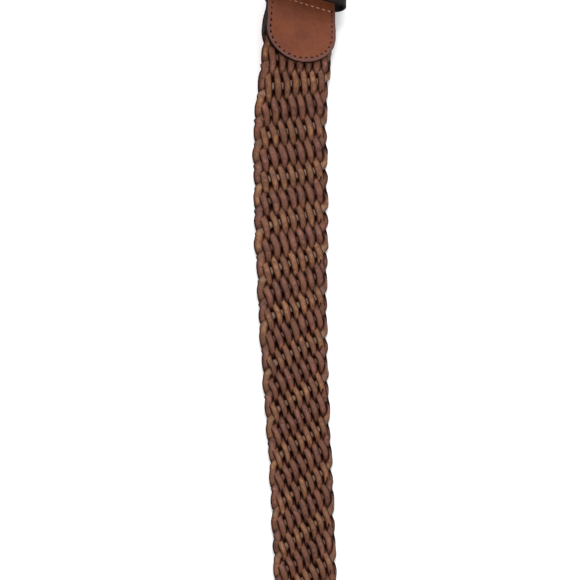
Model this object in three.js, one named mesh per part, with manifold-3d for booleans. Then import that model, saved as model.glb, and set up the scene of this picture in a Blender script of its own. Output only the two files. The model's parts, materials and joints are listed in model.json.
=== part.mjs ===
// Braided leather belt, lying front up. Millimetres, +X across, +Y towards the buckle, +Z up.
import * as THREE from "three";
import { mergeVertices } from "three/addons/utils/BufferGeometryUtils.js";
import Module from "manifold-3d";

const wasm = await Module();
wasm.setup();

// Driving dimensions of the strap
const beltWidth = 38;
const braidLength = 856; // braid that shows between the two leather ends
const braidThickness = 3.4;
const braidRim = 1.5; // thickness of the braid at its rounded edges
const pressedThickness = 2.4; // braid pressed flat between the leather layers
const braidTuck = 20; // how far each end of the braid goes into its leather
const rowPitch = 12.4; // from one cross lace to the next
const scallopDepth = 0.8; // notch between two lace turns on the edge
const leatherThickness = 1.3;
const clearance = 0.3;

// Leather fold that carries the buckle
const tabRound = 16.5; // depth of its round front end
const seamFromTip = 29; // closing seam, from the round end's tip
const barFromTip = 50; // buckle bar, from the round end's tip
const frontDip = 0.6; // how far the front sinks once past the braid's end
const slotMargin = 1.2; // leather cut away beside the prong
const slotReach = 6; // leather cut away below the bar

// Leather loop for the belt's loose end
const keeperFromSeam = 2.6;
const keeperBand = 12;
const keeperThickness = 1.4;
const keeperHeight = 4.4; // free height over the fold
const keeperSlack = 1.4; // free width on each side
const keeperCorner = 2.4;

// Buckle, one plain piece with its bar and prong
const barRadius = 2.3;
const buckleLength = 44; // from the bar to the far edge
const buckleWire = 5;
const buckleThickness = 4;
const buckleCorner = 10;
const buckleBevel = 0.9;
const buckleSlack = 1.5; // free width beside the leather
const prongRadius = 1.9;
const prongCollar = 1.3; // how far the collar on the bar stands proud of the bar
const prongOverhang = 1.5;
const prongSeat = 0.8; // height of its middle over the frame, as a share of its radius

// Leather tip at the loose end
const tipLength = 95;
const tipRound = 16.5; // depth of the end that lies on the braid
const tipPoint = 24; // depth of the loose end's point
const tipBlunt = 0.78; // shape of the point: 0.5 is full and round, 1 is slender

// Facets: greatest lengths along the leather, and counts on the round ends and in the fold's turn
const foldFacet = 2.2;
const tipFacet = 2.6;
const stepFacet = 1.3;
const flatFacet = 4;
const ovalFacets = 9;
const pointFacets = 10;
const turnFacets = 10;

// How the belt lies. run is a share of the length from the fold's tip, side and raise are shares
// of the belt's width, proud lifts the strap onto its leather's lower face, and roll (right edge
// down) and skew (right ends of the rows towards the buckle) are in degrees.
const tabPose = [
  { run: 1.9, side: 0.15, raise: 0.24, proud: 1, roll: 33, skew: 0 },
  { run: 1, side: 0.145, raise: 0.114, proud: 1, roll: 33, skew: 0 },
  { run: 0.58, side: 0.13, raise: 0.042, proud: 1, roll: 31, skew: 0 },
  { run: 0.3, side: 0.11, raise: 0.012, proud: 1, roll: 25.5, skew: 5 },
];
const braidPose = [
  { run: 0, side: 0.079, raise: 0, proud: 1, roll: 19, skew: 10 },
  { run: 0.015, side: 0.03, raise: 0.004, proud: 0.3, roll: 12, skew: 18 },
  { run: 0.03, side: 0.004, raise: 0, proud: 0, roll: 6, skew: 15 },
  { run: 0.053, side: 0, raise: 0, proud: 0, roll: 0, skew: 12 },
  { run: 0.088, side: 0.008, raise: 0, proud: 0, roll: 0, skew: 13.5 },
  { run: 0.123, side: 0.021, raise: 0, proud: 0, roll: 0, skew: 21 },
  { run: 0.151, side: 0.034, raise: 0, proud: 0, roll: 0, skew: 25 },
  { run: 0.18, side: 0.05, raise: 0, proud: 0, roll: 0, skew: 29 },
  { run: 0.228, side: 0.1, raise: 0, proud: 0, roll: 0, skew: 33.5 },
  { run: 0.263, side: 0.139, raise: 0, proud: 0, roll: 0, skew: 35.5 },
  { run: 0.32, side: 0.184, raise: 0, proud: 0, roll: 0, skew: 37 },
  { run: 0.4, side: 0.21, raise: 0, proud: 0, roll: 0, skew: 34 },
  { run: 0.55, side: 0.2, raise: 0, proud: 0, roll: 0, skew: 17 },
  { run: 0.72, side: 0.19, raise: 0, proud: 0, roll: 0, skew: 3 },
  { run: 0.96, side: 0.184, raise: 0, proud: 0, roll: 0, skew: 0 },
  { run: 1, side: 0.184, raise: 0, proud: 1, roll: 0, skew: 0 },
  { run: 1.2, side: 0.184, raise: 0, proud: 1, roll: 0, skew: 0 },
];

// Sizes that follow from the ones above
const halfWidth = beltWidth / 2;
const layerLevel = pressedThickness / 2 + clearance + leatherThickness / 2;
const stackHalf = layerLevel + leatherThickness / 2;
const frontLevel = layerLevel - frontDip;
const layerStep = leatherThickness + clearance;
const keeperStep = leatherThickness / 2 + clearance + keeperThickness / 2;
const foldRadius = barRadius + clearance + leatherThickness / 2;
const barLevel = frontLevel - foldRadius;
const keeperLow = seamFromTip + keeperFromSeam;
const rowCount = Math.round(braidLength / rowPitch);
const rowStep = braidLength / rowCount;

const radians = THREE.MathUtils.degToRad;
const smooth = THREE.MathUtils.smoothstep;

const stations = [
  ...tabPose.map((row) => ({ ...row, at: -row.run * barFromTip })),
  ...braidPose.map((row) => ({ ...row, at: row.run * braidLength })),
];

// Slope of one column at a station, from its two neighbours.
function slopeAt(column, i) {
  const low = stations[Math.max(i - 1, 0)];
  const high = stations[Math.min(i + 1, stations.length - 1)];
  return (high[column] - low[column]) / (high.at - low.at);
}

// Smooth value of one column at a distance down the belt.
function poseOf(column, at) {
  let i = stations.findIndex((station) => station.at > at) - 1;
  if (i < 0) i = at < stations[0].at ? 0 : stations.length - 2;
  const [a, b] = [stations[i], stations[i + 1]];
  const span = b.at - a.at;
  const q = THREE.MathUtils.clamp((at - a.at) / span, 0, 1);
  const rise = q * q * (3 - 2 * q);
  const bend = slopeAt(column, i) * q * (1 - q) ** 2 - slopeAt(column, i + 1) * q * q * (1 - q);
  return a[column] * (1 - rise) + b[column] * rise + bend * span;
}

// Middle of the strap at a distance down the belt; negative distances lie towards the buckle.
function centreAt(at) {
  const roll = radians(Math.max(poseOf("roll", at), 0));
  const proud = THREE.MathUtils.clamp(poseOf("proud", at), 0, 1);
  const raise = Math.max(poseOf("raise", at), 0) * beltWidth;
  const lift = halfWidth * Math.sin(roll) + braidThickness / 2 + raise;
  return new THREE.Vector3(
    poseOf("side", at) * beltWidth,
    -at,
    lift + proud * (stackHalf - braidThickness / 2),
  );
}

// Strap directions at a distance down the belt: across, towards the buckle, and out of the front.
function frameAt(at) {
  const probe = 1;
  const along = centreAt(at - probe).sub(centreAt(at + probe)).normalize();
  const level = new THREE.Vector3().crossVectors(along, new THREE.Vector3(0, 0, 1)).normalize();
  const up = new THREE.Vector3().crossVectors(level, along);
  const roll = radians(Math.max(poseOf("roll", at), 0));
  const across = level.multiplyScalar(Math.cos(roll)).addScaledVector(up, -Math.sin(roll));
  const out = new THREE.Vector3().crossVectors(across, along);
  return { across, along, out };
}

// Point of the strap at u across, a distance down the belt, and n out of its middle surface.
function onStrap(u, at, n) {
  const { across, out } = frameAt(at);
  return centreAt(at).addScaledVector(across, u).addScaledVector(out, n);
}

// Point of a braid row, whose right end is turned towards the buckle by the skew.
function onRow(u, at, n) {
  const skew = radians(poseOf("skew", at));
  return onStrap(u * Math.cos(skew), at - u * Math.sin(skew), n);
}

// Turns a closed geometry's faces outwards, and keeps only its merged points.
function closed(geometry) {
  const plain = geometry.index ? geometry.toNonIndexed() : geometry.clone();
  plain.deleteAttribute("normal");
  plain.deleteAttribute("uv");
  const merged = mergeVertices(plain, 1e-4);
  const p = merged.attributes.position;
  const index = Array.from(merged.index.array);
  const [a, b, c] = [new THREE.Vector3(), new THREE.Vector3(), new THREE.Vector3()];
  let volume = 0;
  for (let i = 0; i < index.length; i += 3) {
    a.fromBufferAttribute(p, index[i]);
    b.fromBufferAttribute(p, index[i + 1]);
    c.fromBufferAttribute(p, index[i + 2]);
    volume += a.dot(b.cross(c));
  }
  if (volume < 0) {
    for (let i = 0; i < index.length; i += 3) {
      [index[i + 1], index[i + 2]] = [index[i + 2], index[i + 1]];
    }
  }
  merged.setIndex(index);
  return merged;
}

// Closed skin through rings of equal length, with its two end rings capped.
function loft(rings) {
  const count = rings[0].length;
  const positions = rings.flat().flatMap((point) => point.toArray());
  const index = [];
  for (let r = 0; r + 1 < rings.length; r++) {
    for (let i = 0; i < count; i++) {
      const [a, b] = [r * count + i, r * count + ((i + 1) % count)];
      index.push(a, b, b + count, a, b + count, a + count);
    }
  }
  const last = (rings.length - 1) * count;
  for (let i = 1; i + 1 < count; i++) {
    index.push(0, i + 1, i, last, last + i, last + i + 1);
  }
  const geometry = new THREE.BufferGeometry();
  geometry.setAttribute("position", new THREE.Float32BufferAttribute(positions, 3));
  geometry.setIndex(index);
  return closed(geometry);
}

// Solid of a closed geometry, for cuts and joins.
function toSolid(geometry) {
  const merged = closed(geometry);
  return new wasm.Manifold(
    new wasm.Mesh({
      numProp: 3,
      vertProperties: merged.attributes.position.array,
      triVerts: new Uint32Array(merged.index.array),
    }),
  );
}

// Geometry of a solid.
function fromSolid(solid) {
  const mesh = solid.getMesh();
  const geometry = new THREE.BufferGeometry();
  geometry.setAttribute("position", new THREE.BufferAttribute(mesh.vertProperties, 3));
  geometry.setIndex(new THREE.BufferAttribute(mesh.triVerts, 1));
  return geometry;
}

// Mesh with its node's name.
function named(name, geometry, material) {
  const mesh = new THREE.Mesh(geometry, material);
  mesh.name = name;
  return mesh;
}

// Half width of a leather end at a distance from its tip: an oval of the given depth.
function ovalHalf(fromTip, depth) {
  const q = THREE.MathUtils.clamp(1 - fromTip / depth, 0, 1);
  return Math.max(halfWidth * Math.sqrt(1 - q * q), leatherThickness / 2);
}

// Distances from a rounded tip, close together where the outline turns fast.
function ovalSteps(depth, count) {
  const turn = Math.PI / 2 / count;
  return Array.from({ length: count + 1 }, (_, i) => depth * (1 - Math.cos(i * turn)));
}

// Evenly spaced distances, without the first one.
function evenSteps(from, to, step) {
  const count = Math.max(1, Math.ceil(Math.abs(to - from) / step));
  return Array.from({ length: count }, (_, i) => from + ((to - from) * (i + 1)) / count);
}

// Height that goes smoothly from stop to stop.
function levelAt(stops, at) {
  let level = stops[0].level;
  for (let i = 1; i < stops.length; i++) {
    const share = smooth(at, stops[i - 1].at, stops[i].at);
    level += (stops[i].level - stops[i - 1].level) * share;
  }
  return level;
}

// Folded leather: front layer, turn round the buckle bar, and back layer, as one ribbon.
function buckleTab(cutter) {
  const settled = seamFromTip - leatherThickness;
  const tuckEnd = braidTuck + clearance;
  const front = [
    { at: tuckEnd, level: layerLevel },
    { at: settled, level: frontLevel },
  ];
  const back = [
    { at: tuckEnd, level: -layerLevel },
    { at: settled, level: frontLevel - layerStep },
    { at: seamFromTip, level: frontLevel - layerStep },
    { at: keeperLow - clearance, level: frontLevel - 2 * keeperStep },
    { at: keeperLow + keeperBand, level: frontLevel - 2 * keeperStep },
    { at: barFromTip, level: barLevel - foldRadius },
  ];
  const steps = [
    ...ovalSteps(tabRound, ovalFacets),
    ...evenSteps(tabRound, tuckEnd, foldFacet),
    ...evenSteps(tuckEnd, barFromTip, foldFacet),
  ];
  const path = steps.map((at) => ({ at, n: levelAt(front, at), half: ovalHalf(at, tabRound) }));
  for (let i = 1; i < turnFacets; i++) {
    const angle = Math.PI / 2 - (i * Math.PI) / turnFacets;
    path.push({
      at: barFromTip + foldRadius * Math.cos(angle),
      n: barLevel + foldRadius * Math.sin(angle),
      half: halfWidth,
    });
  }
  for (const at of steps.toReversed()) {
    path.push({ at, n: levelAt(back, at), half: ovalHalf(at, tabRound) });
  }
  const rings = path.map((point, i) => {
    const before = path[Math.max(i - 1, 0)];
    const after = path[Math.min(i + 1, path.length - 1)];
    const length = Math.hypot(after.at - before.at, after.n - before.n);
    const dAt = ((after.n - before.n) / length) * (leatherThickness / 2);
    const dN = ((after.at - before.at) / length) * (leatherThickness / 2);
    return [
      onStrap(-point.half, -(point.at - dAt), point.n + dN),
      onStrap(point.half, -(point.at - dAt), point.n + dN),
      onStrap(point.half, -(point.at + dAt), point.n - dN),
      onStrap(-point.half, -(point.at + dAt), point.n - dN),
    ];
  });
  return fromSolid(toSolid(loft(rings)).subtract(cutter));
}

// Rectangle with round corners, as a path or as a hole.
function roundedRect(Kind, halfW, low, high, radius) {
  const path = new Kind();
  path.moveTo(-halfW + radius, low);
  path.absarc(halfW - radius, low + radius, radius, -Math.PI / 2, 0, false);
  path.absarc(halfW - radius, high - radius, radius, 0, Math.PI / 2, false);
  path.absarc(-halfW + radius, high - radius, radius, Math.PI / 2, Math.PI, false);
  path.absarc(-halfW + radius, low + radius, radius, Math.PI, 1.5 * Math.PI, false);
  return path;
}

// Loop over the fold, whose back band passes between the fold's layers.
function keeperLoop() {
  const low = frontLevel - keeperStep - keeperThickness / 2;
  const high = frontLevel + leatherThickness / 2 + keeperHeight + keeperThickness;
  const outerHalf = halfWidth + keeperSlack + keeperThickness;
  const leastCorner = 0.4;
  const outline = roundedRect(THREE.Shape, outerHalf, low, high, keeperCorner);
  outline.holes.push(
    roundedRect(
      THREE.Path,
      outerHalf - keeperThickness,
      low + keeperThickness,
      high - keeperThickness,
      Math.max(keeperCorner - keeperThickness, leastCorner),
    ),
  );
  const loop = new THREE.ExtrudeGeometry(outline, {
    depth: keeperBand,
    steps: 4,
    curveSegments: 5,
    bevelEnabled: false,
  });
  const p = loop.attributes.position;
  for (let i = 0; i < p.count; i++) {
    const point = onStrap(p.getX(i), -(keeperLow + p.getZ(i)), p.getY(i));
    p.setXYZ(i, point.x, point.y, point.z);
  }
  return closed(loop);
}

// Buckle in its own frame: bar along X at the origin, frame towards +Y, front towards +Z.
function buckle() {
  const inner = halfWidth + buckleSlack;
  const outer = inner + buckleWire;
  const far = buckleLength - buckleCorner;
  const innerCorner = buckleCorner - buckleWire;
  const legEnd = buckleWire / 2;
  const outline = new THREE.Shape();
  outline.moveTo(-outer, 0);
  outline.absarc(-outer + buckleCorner, far, buckleCorner, Math.PI, Math.PI / 2, true);
  outline.absarc(outer - buckleCorner, far, buckleCorner, Math.PI / 2, 0, true);
  outline.absarc(outer - legEnd, 0, legEnd, 0, -Math.PI, true);
  outline.absarc(inner - innerCorner, far, innerCorner, 0, Math.PI / 2, false);
  outline.absarc(-inner + innerCorner, far, innerCorner, Math.PI / 2, Math.PI, false);
  outline.absarc(-outer + legEnd, 0, legEnd, 0, -Math.PI, true);
  const rim = new THREE.ExtrudeGeometry(outline, {
    depth: buckleThickness - 2 * buckleBevel,
    curveSegments: 7,
    bevelThickness: buckleBevel,
    bevelSize: buckleBevel,
    bevelOffset: -buckleBevel,
    bevelSegments: 2,
  });
  rim.translate(0, 0, buckleBevel - buckleThickness / 2);
  const bar = new THREE.CylinderGeometry(barRadius, barRadius, 2 * (outer - legEnd), 16);
  bar.rotateZ(Math.PI / 2);
  const collarRadius = barRadius + prongCollar;
  const collar = new THREE.CylinderGeometry(collarRadius, collarRadius, 2 * prongRadius, 20);
  collar.rotateZ(Math.PI / 2);
  const rest = buckleThickness / 2 + prongRadius * prongSeat;
  const reach = buckleLength + prongOverhang;
  const prong = new THREE.CapsuleGeometry(prongRadius, Math.hypot(reach, rest), 4, 12);
  prong.translate(0, Math.hypot(reach, rest) / 2, 0);
  prong.rotateX(Math.atan2(rest, reach));
  return fromSolid(
    [bar, collar, prong].reduce((solid, piece) => solid.add(toSolid(piece)), toSolid(rim)),
  );
}

// One solid for the plaited laces: each row gives a notch and a rounded turn on both edges.
function braidedBand() {
  const stepsPerRow = 3;
  const tuckSteps = Math.round(braidTuck / (rowStep / stepsPerRow));
  const total = rowCount * stepsPerRow;
  const rings = [];
  for (let i = -tuckSteps; i <= total + tuckSteps; i++) {
    let at = (i * rowStep) / stepsPerRow;
    if (i < 0) at = (i * braidTuck) / tuckSteps;
    if (i > total) at = braidLength + ((i - total) * braidTuck) / tuckSteps;
    const inside = Math.max(-at, at - braidLength);
    const free = 1 - smooth(inside, -rowStep / 2, 0);
    const half = THREE.MathUtils.lerp(pressedThickness, braidThickness, free) / 2;
    const rim = Math.min(half, braidRim / 2);
    const width = halfWidth - clearance * smooth(inside, -rowStep / 2, rowStep / 2);
    const notch = (shift) => {
      const turn = Math.abs(Math.sin((Math.PI * (i + shift)) / stepsPerRow));
      return width - scallopDepth * (1 - Math.sqrt(turn)) * free;
    };
    const [right, left] = [notch(0), notch(stepsPerRow / 2)];
    const shoulder = halfWidth - braidThickness / 2;
    rings.push([
      onRow(-left, at, -rim),
      onRow(-shoulder, at, -half),
      onRow(0, at, -half),
      onRow(shoulder, at, -half),
      onRow(right, at, -rim),
      onRow(right, at, rim),
      onRow(shoulder, at, half),
      onRow(0, at, half),
      onRow(-shoulder, at, half),
      onRow(-left, at, rim),
    ]);
  }
  return loft(rings);
}

// Half width of the loose end's point at a distance from its tip.
function pointHalf(fromTip) {
  const q = THREE.MathUtils.clamp(1 - fromTip / tipPoint, 0, 1);
  const power = 1 / (1 - tipBlunt / 2);
  return Math.max(halfWidth * (1 - q ** power) ** tipBlunt, leatherThickness);
}

// Leather tip: a flat back layer, and a front layer that steps down past the braid's end.
function tipTab() {
  const braidEnd = braidTuck + clearance;
  const settled = braidEnd + 3 * leatherThickness;
  const slab = -stackHalf + leatherThickness * 2;
  const steps = [
    ...ovalSteps(tipRound, ovalFacets),
    ...evenSteps(tipRound, braidEnd, tipFacet),
    ...evenSteps(braidEnd, settled, stepFacet),
    ...evenSteps(settled, tipLength - tipPoint, flatFacet),
    ...ovalSteps(tipPoint, pointFacets).toReversed().slice(1).map((at) => tipLength - at),
  ];
  const layer = (bottom, top) =>
    loft(
      steps.map((at) => {
        const half = Math.min(ovalHalf(at, tipRound), pointHalf(tipLength - at));
        const place = braidLength + at;
        return [
          onStrap(-half, place, top(at)),
          onStrap(half, place, top(at)),
          onStrap(half, place, bottom(at)),
          onStrap(-half, place, bottom(at)),
        ];
      }),
    );
  const down = (high, low) => (at) => THREE.MathUtils.lerp(high, low, smooth(at, braidEnd, settled));
  const back = layer(() => -stackHalf, () => leatherThickness - stackHalf);
  const overlap = leatherThickness / 4;
  const front = layer(
    down(stackHalf - leatherThickness, leatherThickness - stackHalf - overlap),
    down(stackHalf, slab),
  );
  return fromSolid(toSolid(back).add(toSolid(front)));
}

const tabLeather = new THREE.MeshStandardMaterial({ color: 0x7a4a35, roughness: 0.55, metalness: 0 });
const braidLeather = new THREE.MeshStandardMaterial({ color: 0x74503c, roughness: 0.65, metalness: 0 });
const keeperLeather = new THREE.MeshStandardMaterial({ color: 0x3a2a28, roughness: 0.5, metalness: 0 });
const nickel = new THREE.MeshStandardMaterial({ color: 0x8c8880, roughness: 0.35, metalness: 1 });

// Places the buckle's frame on the fold, with its bar inside the turn.
function buckleMatrix() {
  const { across, along, out } = frameAt(-barFromTip);
  return new THREE.Matrix4()
    .makeBasis(across, along, out)
    .setPosition(onStrap(0, -barFromTip, barLevel));
}

// Space for the prong's collar and root in the fold, in the buckle's frame.
function prongSlot() {
  const reach = slotReach + foldRadius + leatherThickness;
  const depth = 2 * (foldRadius + leatherThickness);
  const slot = new THREE.BoxGeometry(2 * (prongRadius + slotMargin), reach, depth);
  return slot.translate(0, reach / 2 - slotReach, 0);
}

const belt = new THREE.Group();
const buckleSeat = new THREE.Group();
buckleSeat.applyMatrix4(buckleMatrix());
buckleSeat.add(named("buckle", buckle(), nickel));
belt.add(buckleSeat);
const cutter = toSolid(prongSlot().applyMatrix4(buckleMatrix()));
belt.add(named("buckle_tab", buckleTab(cutter), tabLeather));
belt.add(named("keeper_loop", keeperLoop(), keeperLeather));
belt.add(named("braided_band", braidedBand(), braidLeather));
belt.add(named("tip_tab", tipTab(), tabLeather));

// The origin is the middle of the belt's footprint, on the surface it lies on.
belt.updateMatrixWorld(true);
const extent = new THREE.Box3().setFromObject(belt, true);
const middle = extent.getCenter(new THREE.Vector3());
belt.position.set(-middle.x, -middle.y, -extent.min.z);

export default belt;
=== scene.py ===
"""Braided leather belt, lying front up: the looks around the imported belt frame."""

from __future__ import annotations

import json
import logging
import math
from dataclasses import dataclass, field
from enum import Enum
from typing import Callable, Sequence

import bmesh
import bpy
import numpy as np
from mathutils import Matrix, Vector

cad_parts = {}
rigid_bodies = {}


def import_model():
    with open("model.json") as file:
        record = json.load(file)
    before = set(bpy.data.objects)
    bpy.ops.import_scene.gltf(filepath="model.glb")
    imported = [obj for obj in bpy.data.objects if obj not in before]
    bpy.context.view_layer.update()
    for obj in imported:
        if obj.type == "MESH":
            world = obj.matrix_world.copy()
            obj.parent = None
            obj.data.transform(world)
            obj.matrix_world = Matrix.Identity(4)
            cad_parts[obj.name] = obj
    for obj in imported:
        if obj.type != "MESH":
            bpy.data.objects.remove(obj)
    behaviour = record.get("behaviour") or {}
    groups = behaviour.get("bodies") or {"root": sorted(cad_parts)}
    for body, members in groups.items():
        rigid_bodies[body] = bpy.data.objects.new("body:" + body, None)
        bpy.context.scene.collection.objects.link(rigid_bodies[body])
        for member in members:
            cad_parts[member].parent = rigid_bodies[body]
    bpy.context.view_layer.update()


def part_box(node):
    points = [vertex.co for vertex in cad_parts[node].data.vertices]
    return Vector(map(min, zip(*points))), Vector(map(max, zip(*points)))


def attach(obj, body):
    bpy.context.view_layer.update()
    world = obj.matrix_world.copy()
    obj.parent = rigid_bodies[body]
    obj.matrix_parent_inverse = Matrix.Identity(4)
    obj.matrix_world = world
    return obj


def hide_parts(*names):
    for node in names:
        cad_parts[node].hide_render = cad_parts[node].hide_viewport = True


LOG = logging.getLogger("belt")
MM = 0.001
BODY = "root"
Array = np.ndarray
Line = tuple[np.ndarray, np.ndarray]
Stops = list[tuple[float, float]]


def linear(hex_colour: str) -> tuple[float, float, float, float]:
    """Turns an sRGB hex colour to linear RGBA.

    Args:
        hex_colour: Six hex digits.

    Returns:
        Red, green, blue and alpha, linear.
    """
    parts = [int(hex_colour[i : i + 2], 16) / 255 for i in (0, 2, 4)]
    low = [c / 12.92 if c <= 0.04045 else ((c + 0.055) / 1.055) ** 2.4 for c in parts]
    return (low[0], low[1], low[2], 1.0)


def add_node(tree: bpy.types.NodeTree, kind: str, feeds: dict | None = None, **settings) -> bpy.types.Node:
    """Adds a node with its settings, values and links.

    Args:
        tree: Tree that gets the node.
        kind: Blender's type name of the node.
        feeds: Input name or index to a socket to link from, or to a value.
        **settings: Properties of the node.

    Returns:
        The new node.
    """
    node = tree.nodes.new(kind)
    for name, value in settings.items():
        setattr(node, name, value)
    for key, value in (feeds or {}).items():
        if isinstance(value, bpy.types.NodeSocket):
            tree.links.new(value, node.inputs[key])
        else:
            node.inputs[key].default_value = value
    return node


def smooth_step(value: Array | float, low: float, high: float) -> Array:
    """Smooth share from 0 at low to 1 at high."""
    q = np.clip((np.asarray(value, float) - low) / (high - low), 0.0, 1.0)
    return q * q * (3 - 2 * q)


def unit(rows: Array) -> Array:
    """Vectors in rows, scaled to length one."""
    return rows / np.linalg.norm(rows, axis=1, keepdims=True)


def travelled(points: Array) -> Array:
    """Distance travelled along a line at each of its points."""
    return np.concatenate([[0], np.cumsum(np.linalg.norm(np.diff(points, axis=0), axis=1))])


def level_at(stops: Stops, at: Array | float) -> Array:
    """Height that goes smoothly from stop to stop.

    Args:
        stops: Distance and height of each stop.
        at: Distances.

    Returns:
        Height at each distance.
    """
    level = np.full(np.shape(at), stops[0][1], float)
    for (a, low), (b, high) in zip(stops, stops[1:]):
        level = level + (high - low) * smooth_step(at, a, b)
    return level


def ring_faces(rings: int, points: int, closed: bool) -> list[tuple[int, ...]]:
    """Faces between neighbouring rings of points.

    Args:
        rings: Number of rings.
        points: Points in each ring.
        closed: Whether the last ring meets the first. Otherwise both ends get a cap.

    Returns:
        Corner indices of each face.
    """
    faces: list[tuple[int, ...]] = []
    for r in range(rings if closed else rings - 1):
        here, after = r * points, (r + 1) % rings * points
        for i in range(points):
            j = (i + 1) % points
            faces.append((here + i, here + j, after + j, after + i))
    if not closed:
        faces.append(tuple(reversed(range(points))))
        faces.append(tuple((rings - 1) * points + i for i in range(points)))
    return faces


def make_object(name: str, verts: Array, faces: Sequence[Sequence[int]]) -> bpy.types.Object:
    """Makes a smooth-shaded mesh object from points and faces.

    Args:
        name: Object name.
        verts: Points in metres, one row each.
        faces: Corner indices of each face.

    Returns:
        The linked object.
    """
    mesh = bpy.data.meshes.new(name)
    mesh.from_pydata([tuple(v) for v in verts], [], [tuple(f) for f in faces])
    mesh.update()
    mesh.polygons.foreach_set("use_smooth", [True] * len(mesh.polygons))
    thing = bpy.data.objects.new(name, mesh)
    bpy.context.collection.objects.link(thing)
    return thing


def store(mesh: bpy.types.Mesh, name: str, values: Array) -> None:
    """Stores one number or one vector per point as a named attribute.

    Args:
        mesh: Mesh that gets the attribute.
        name: Attribute name.
        values: One row per point.
    """
    values = np.asarray(values, np.float32)
    kind, key = ("FLOAT", "value") if values.ndim == 1 else ("FLOAT_VECTOR", "vector")
    mesh.attributes.new(name, kind, "POINT").data.foreach_set(key, values.ravel())


def line_mesh(lines: Sequence[Line]) -> bpy.types.Mesh:
    """Makes a mesh of separate lines, whose points know which way their face looks.

    Args:
        lines: Points in metres and face directions of each line.

    Returns:
        The mesh, with the attribute face.
    """
    edges, start = [], 0
    for points, _ in lines:
        edges += [(start + k, start + k + 1) for k in range(len(points) - 1)]
        start += len(points)
    mesh = bpy.data.meshes.new("lines")
    mesh.from_pydata([tuple(p) for points, _ in lines for p in points], edges, [])
    store(mesh, "face", np.vstack([face for _, face in lines]))
    return mesh


def outward(thing: bpy.types.Object) -> None:
    """Merges a mesh's doubles and points all its faces outwards.

    Args:
        thing: Mesh object.
    """
    work = bmesh.new()
    work.from_mesh(thing.data)
    bmesh.ops.remove_doubles(work, verts=work.verts, dist=1e-6)
    bmesh.ops.recalc_face_normals(work, faces=work.faces)
    work.to_mesh(thing.data)
    work.free()


def settle(
    thing: bpy.types.Object, material: bpy.types.Material, replaces: Sequence[str] = ()
) -> None:
    """Gives a finished piece its material and body, and hides the nodes that it stands for.

    Args:
        thing: Finished mesh object.
        material: Its material.
        replaces: Nodes that the piece replaces.
    """
    if not thing.data.materials:
        thing.data.materials.append(material)
    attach(thing, BODY)
    if replaces:
        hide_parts(*replaces)
    LOG.info("%s: %d faces", thing.name, len(thing.data.polygons))


def new_tree(name: str, inputs: dict[str, str]) -> tuple[bpy.types.NodeTree, Sequence]:
    """Makes a Geometry Nodes tree with a geometry input and output.

    Args:
        name: Name of the tree.
        inputs: Name of each further input, and its kind of socket.

    Returns:
        The tree, and its inputs to link from.
    """
    tree = bpy.data.node_groups.new(name, "GeometryNodeTree")
    for item, kind in {"Geometry": "Geometry", **inputs}.items():
        tree.interface.new_socket(item, in_out="INPUT", socket_type=f"NodeSocket{kind}")
    tree.interface.new_socket("Geometry", in_out="OUTPUT", socket_type="NodeSocketGeometry")
    return tree, add_node(tree, "NodeGroupInput").outputs


def close_tree(tree: bpy.types.NodeTree, shape: bpy.types.NodeSocket, finish: bpy.types.NodeSocket) -> None:
    """Ends a tree with real geometry, smooth shading and the finish.

    Args:
        tree: The tree.
        shape: Geometry to end with.
        finish: Material to set.
    """
    real = add_node(tree, "GeometryNodeRealizeInstances", {0: shape})
    soft = add_node(tree, "GeometryNodeSetShadeSmooth", {0: real.outputs[0]})
    dressed = add_node(tree, "GeometryNodeSetMaterial", {"Geometry": soft.outputs[0], "Material": finish})
    add_node(tree, "NodeGroupOutput", {"Geometry": dressed.outputs[0]})


def run_tree(name: str, mesh: bpy.types.Mesh, tree: bpy.types.NodeTree, values: dict) -> bpy.types.Object:
    """Runs a Geometry Nodes tree on a mesh and keeps the result as a plain mesh.

    Args:
        name: Name of the finished object.
        mesh: Mesh that the tree starts from.
        tree: The tree.
        values: Input name to value.

    Returns:
        The finished object, without a modifier.
    """
    start = bpy.data.objects.new("start", mesh)
    bpy.context.collection.objects.link(start)
    modifier = start.modifiers.new("nodes", "NODES")
    modifier.node_group = tree
    for item in tree.interface.items_tree:
        if item.item_type == "SOCKET" and item.in_out == "INPUT" and item.name in values:
            modifier[item.identifier] = values[item.name]
    result = bpy.data.meshes.new_from_object(start.evaluated_get(bpy.context.evaluated_depsgraph_get()))
    result.name = name
    bpy.data.objects.remove(start)
    thing = bpy.data.objects.new(name, result)
    bpy.context.collection.objects.link(thing)
    return thing


def new_finish(name: str) -> tuple[bpy.types.Material, bpy.types.NodeTree, bpy.types.Node]:
    """Makes a material to build on.

    Args:
        name: Name of the material.

    Returns:
        The material, its tree and its shader.
    """
    material = bpy.data.materials.new(name)
    material.use_nodes = True
    return material, material.node_tree, material.node_tree.nodes["Principled BSDF"]


def two_tone(
    tree: bpy.types.NodeTree, pattern: bpy.types.NodeSocket, tones: tuple[str, str], relief: tuple[float, ...]
) -> None:
    """Colours a shader between two tones by a pattern, which may also raise its surface.

    Args:
        tree: The material's tree.
        pattern: Share of the second tone.
        tones: Colours where the pattern is 0 and 1.
        relief: Strength of the relief and its depth in millimetres, or nothing for a flat surface.
    """
    shader = tree.nodes["Principled BSDF"]
    feeds = {0: pattern, 6: linear(tones[0]), 7: linear(tones[1])}
    colour = add_node(tree, "ShaderNodeMix", feeds, data_type="RGBA")
    tree.links.new(colour.outputs[2], shader.inputs["Base Color"])
    if relief:
        feeds = {"Height": pattern, "Strength": relief[0], "Distance": relief[1] * MM}
        tree.links.new(add_node(tree, "ShaderNodeBump", feeds).outputs["Normal"], shader.inputs["Normal"])


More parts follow.
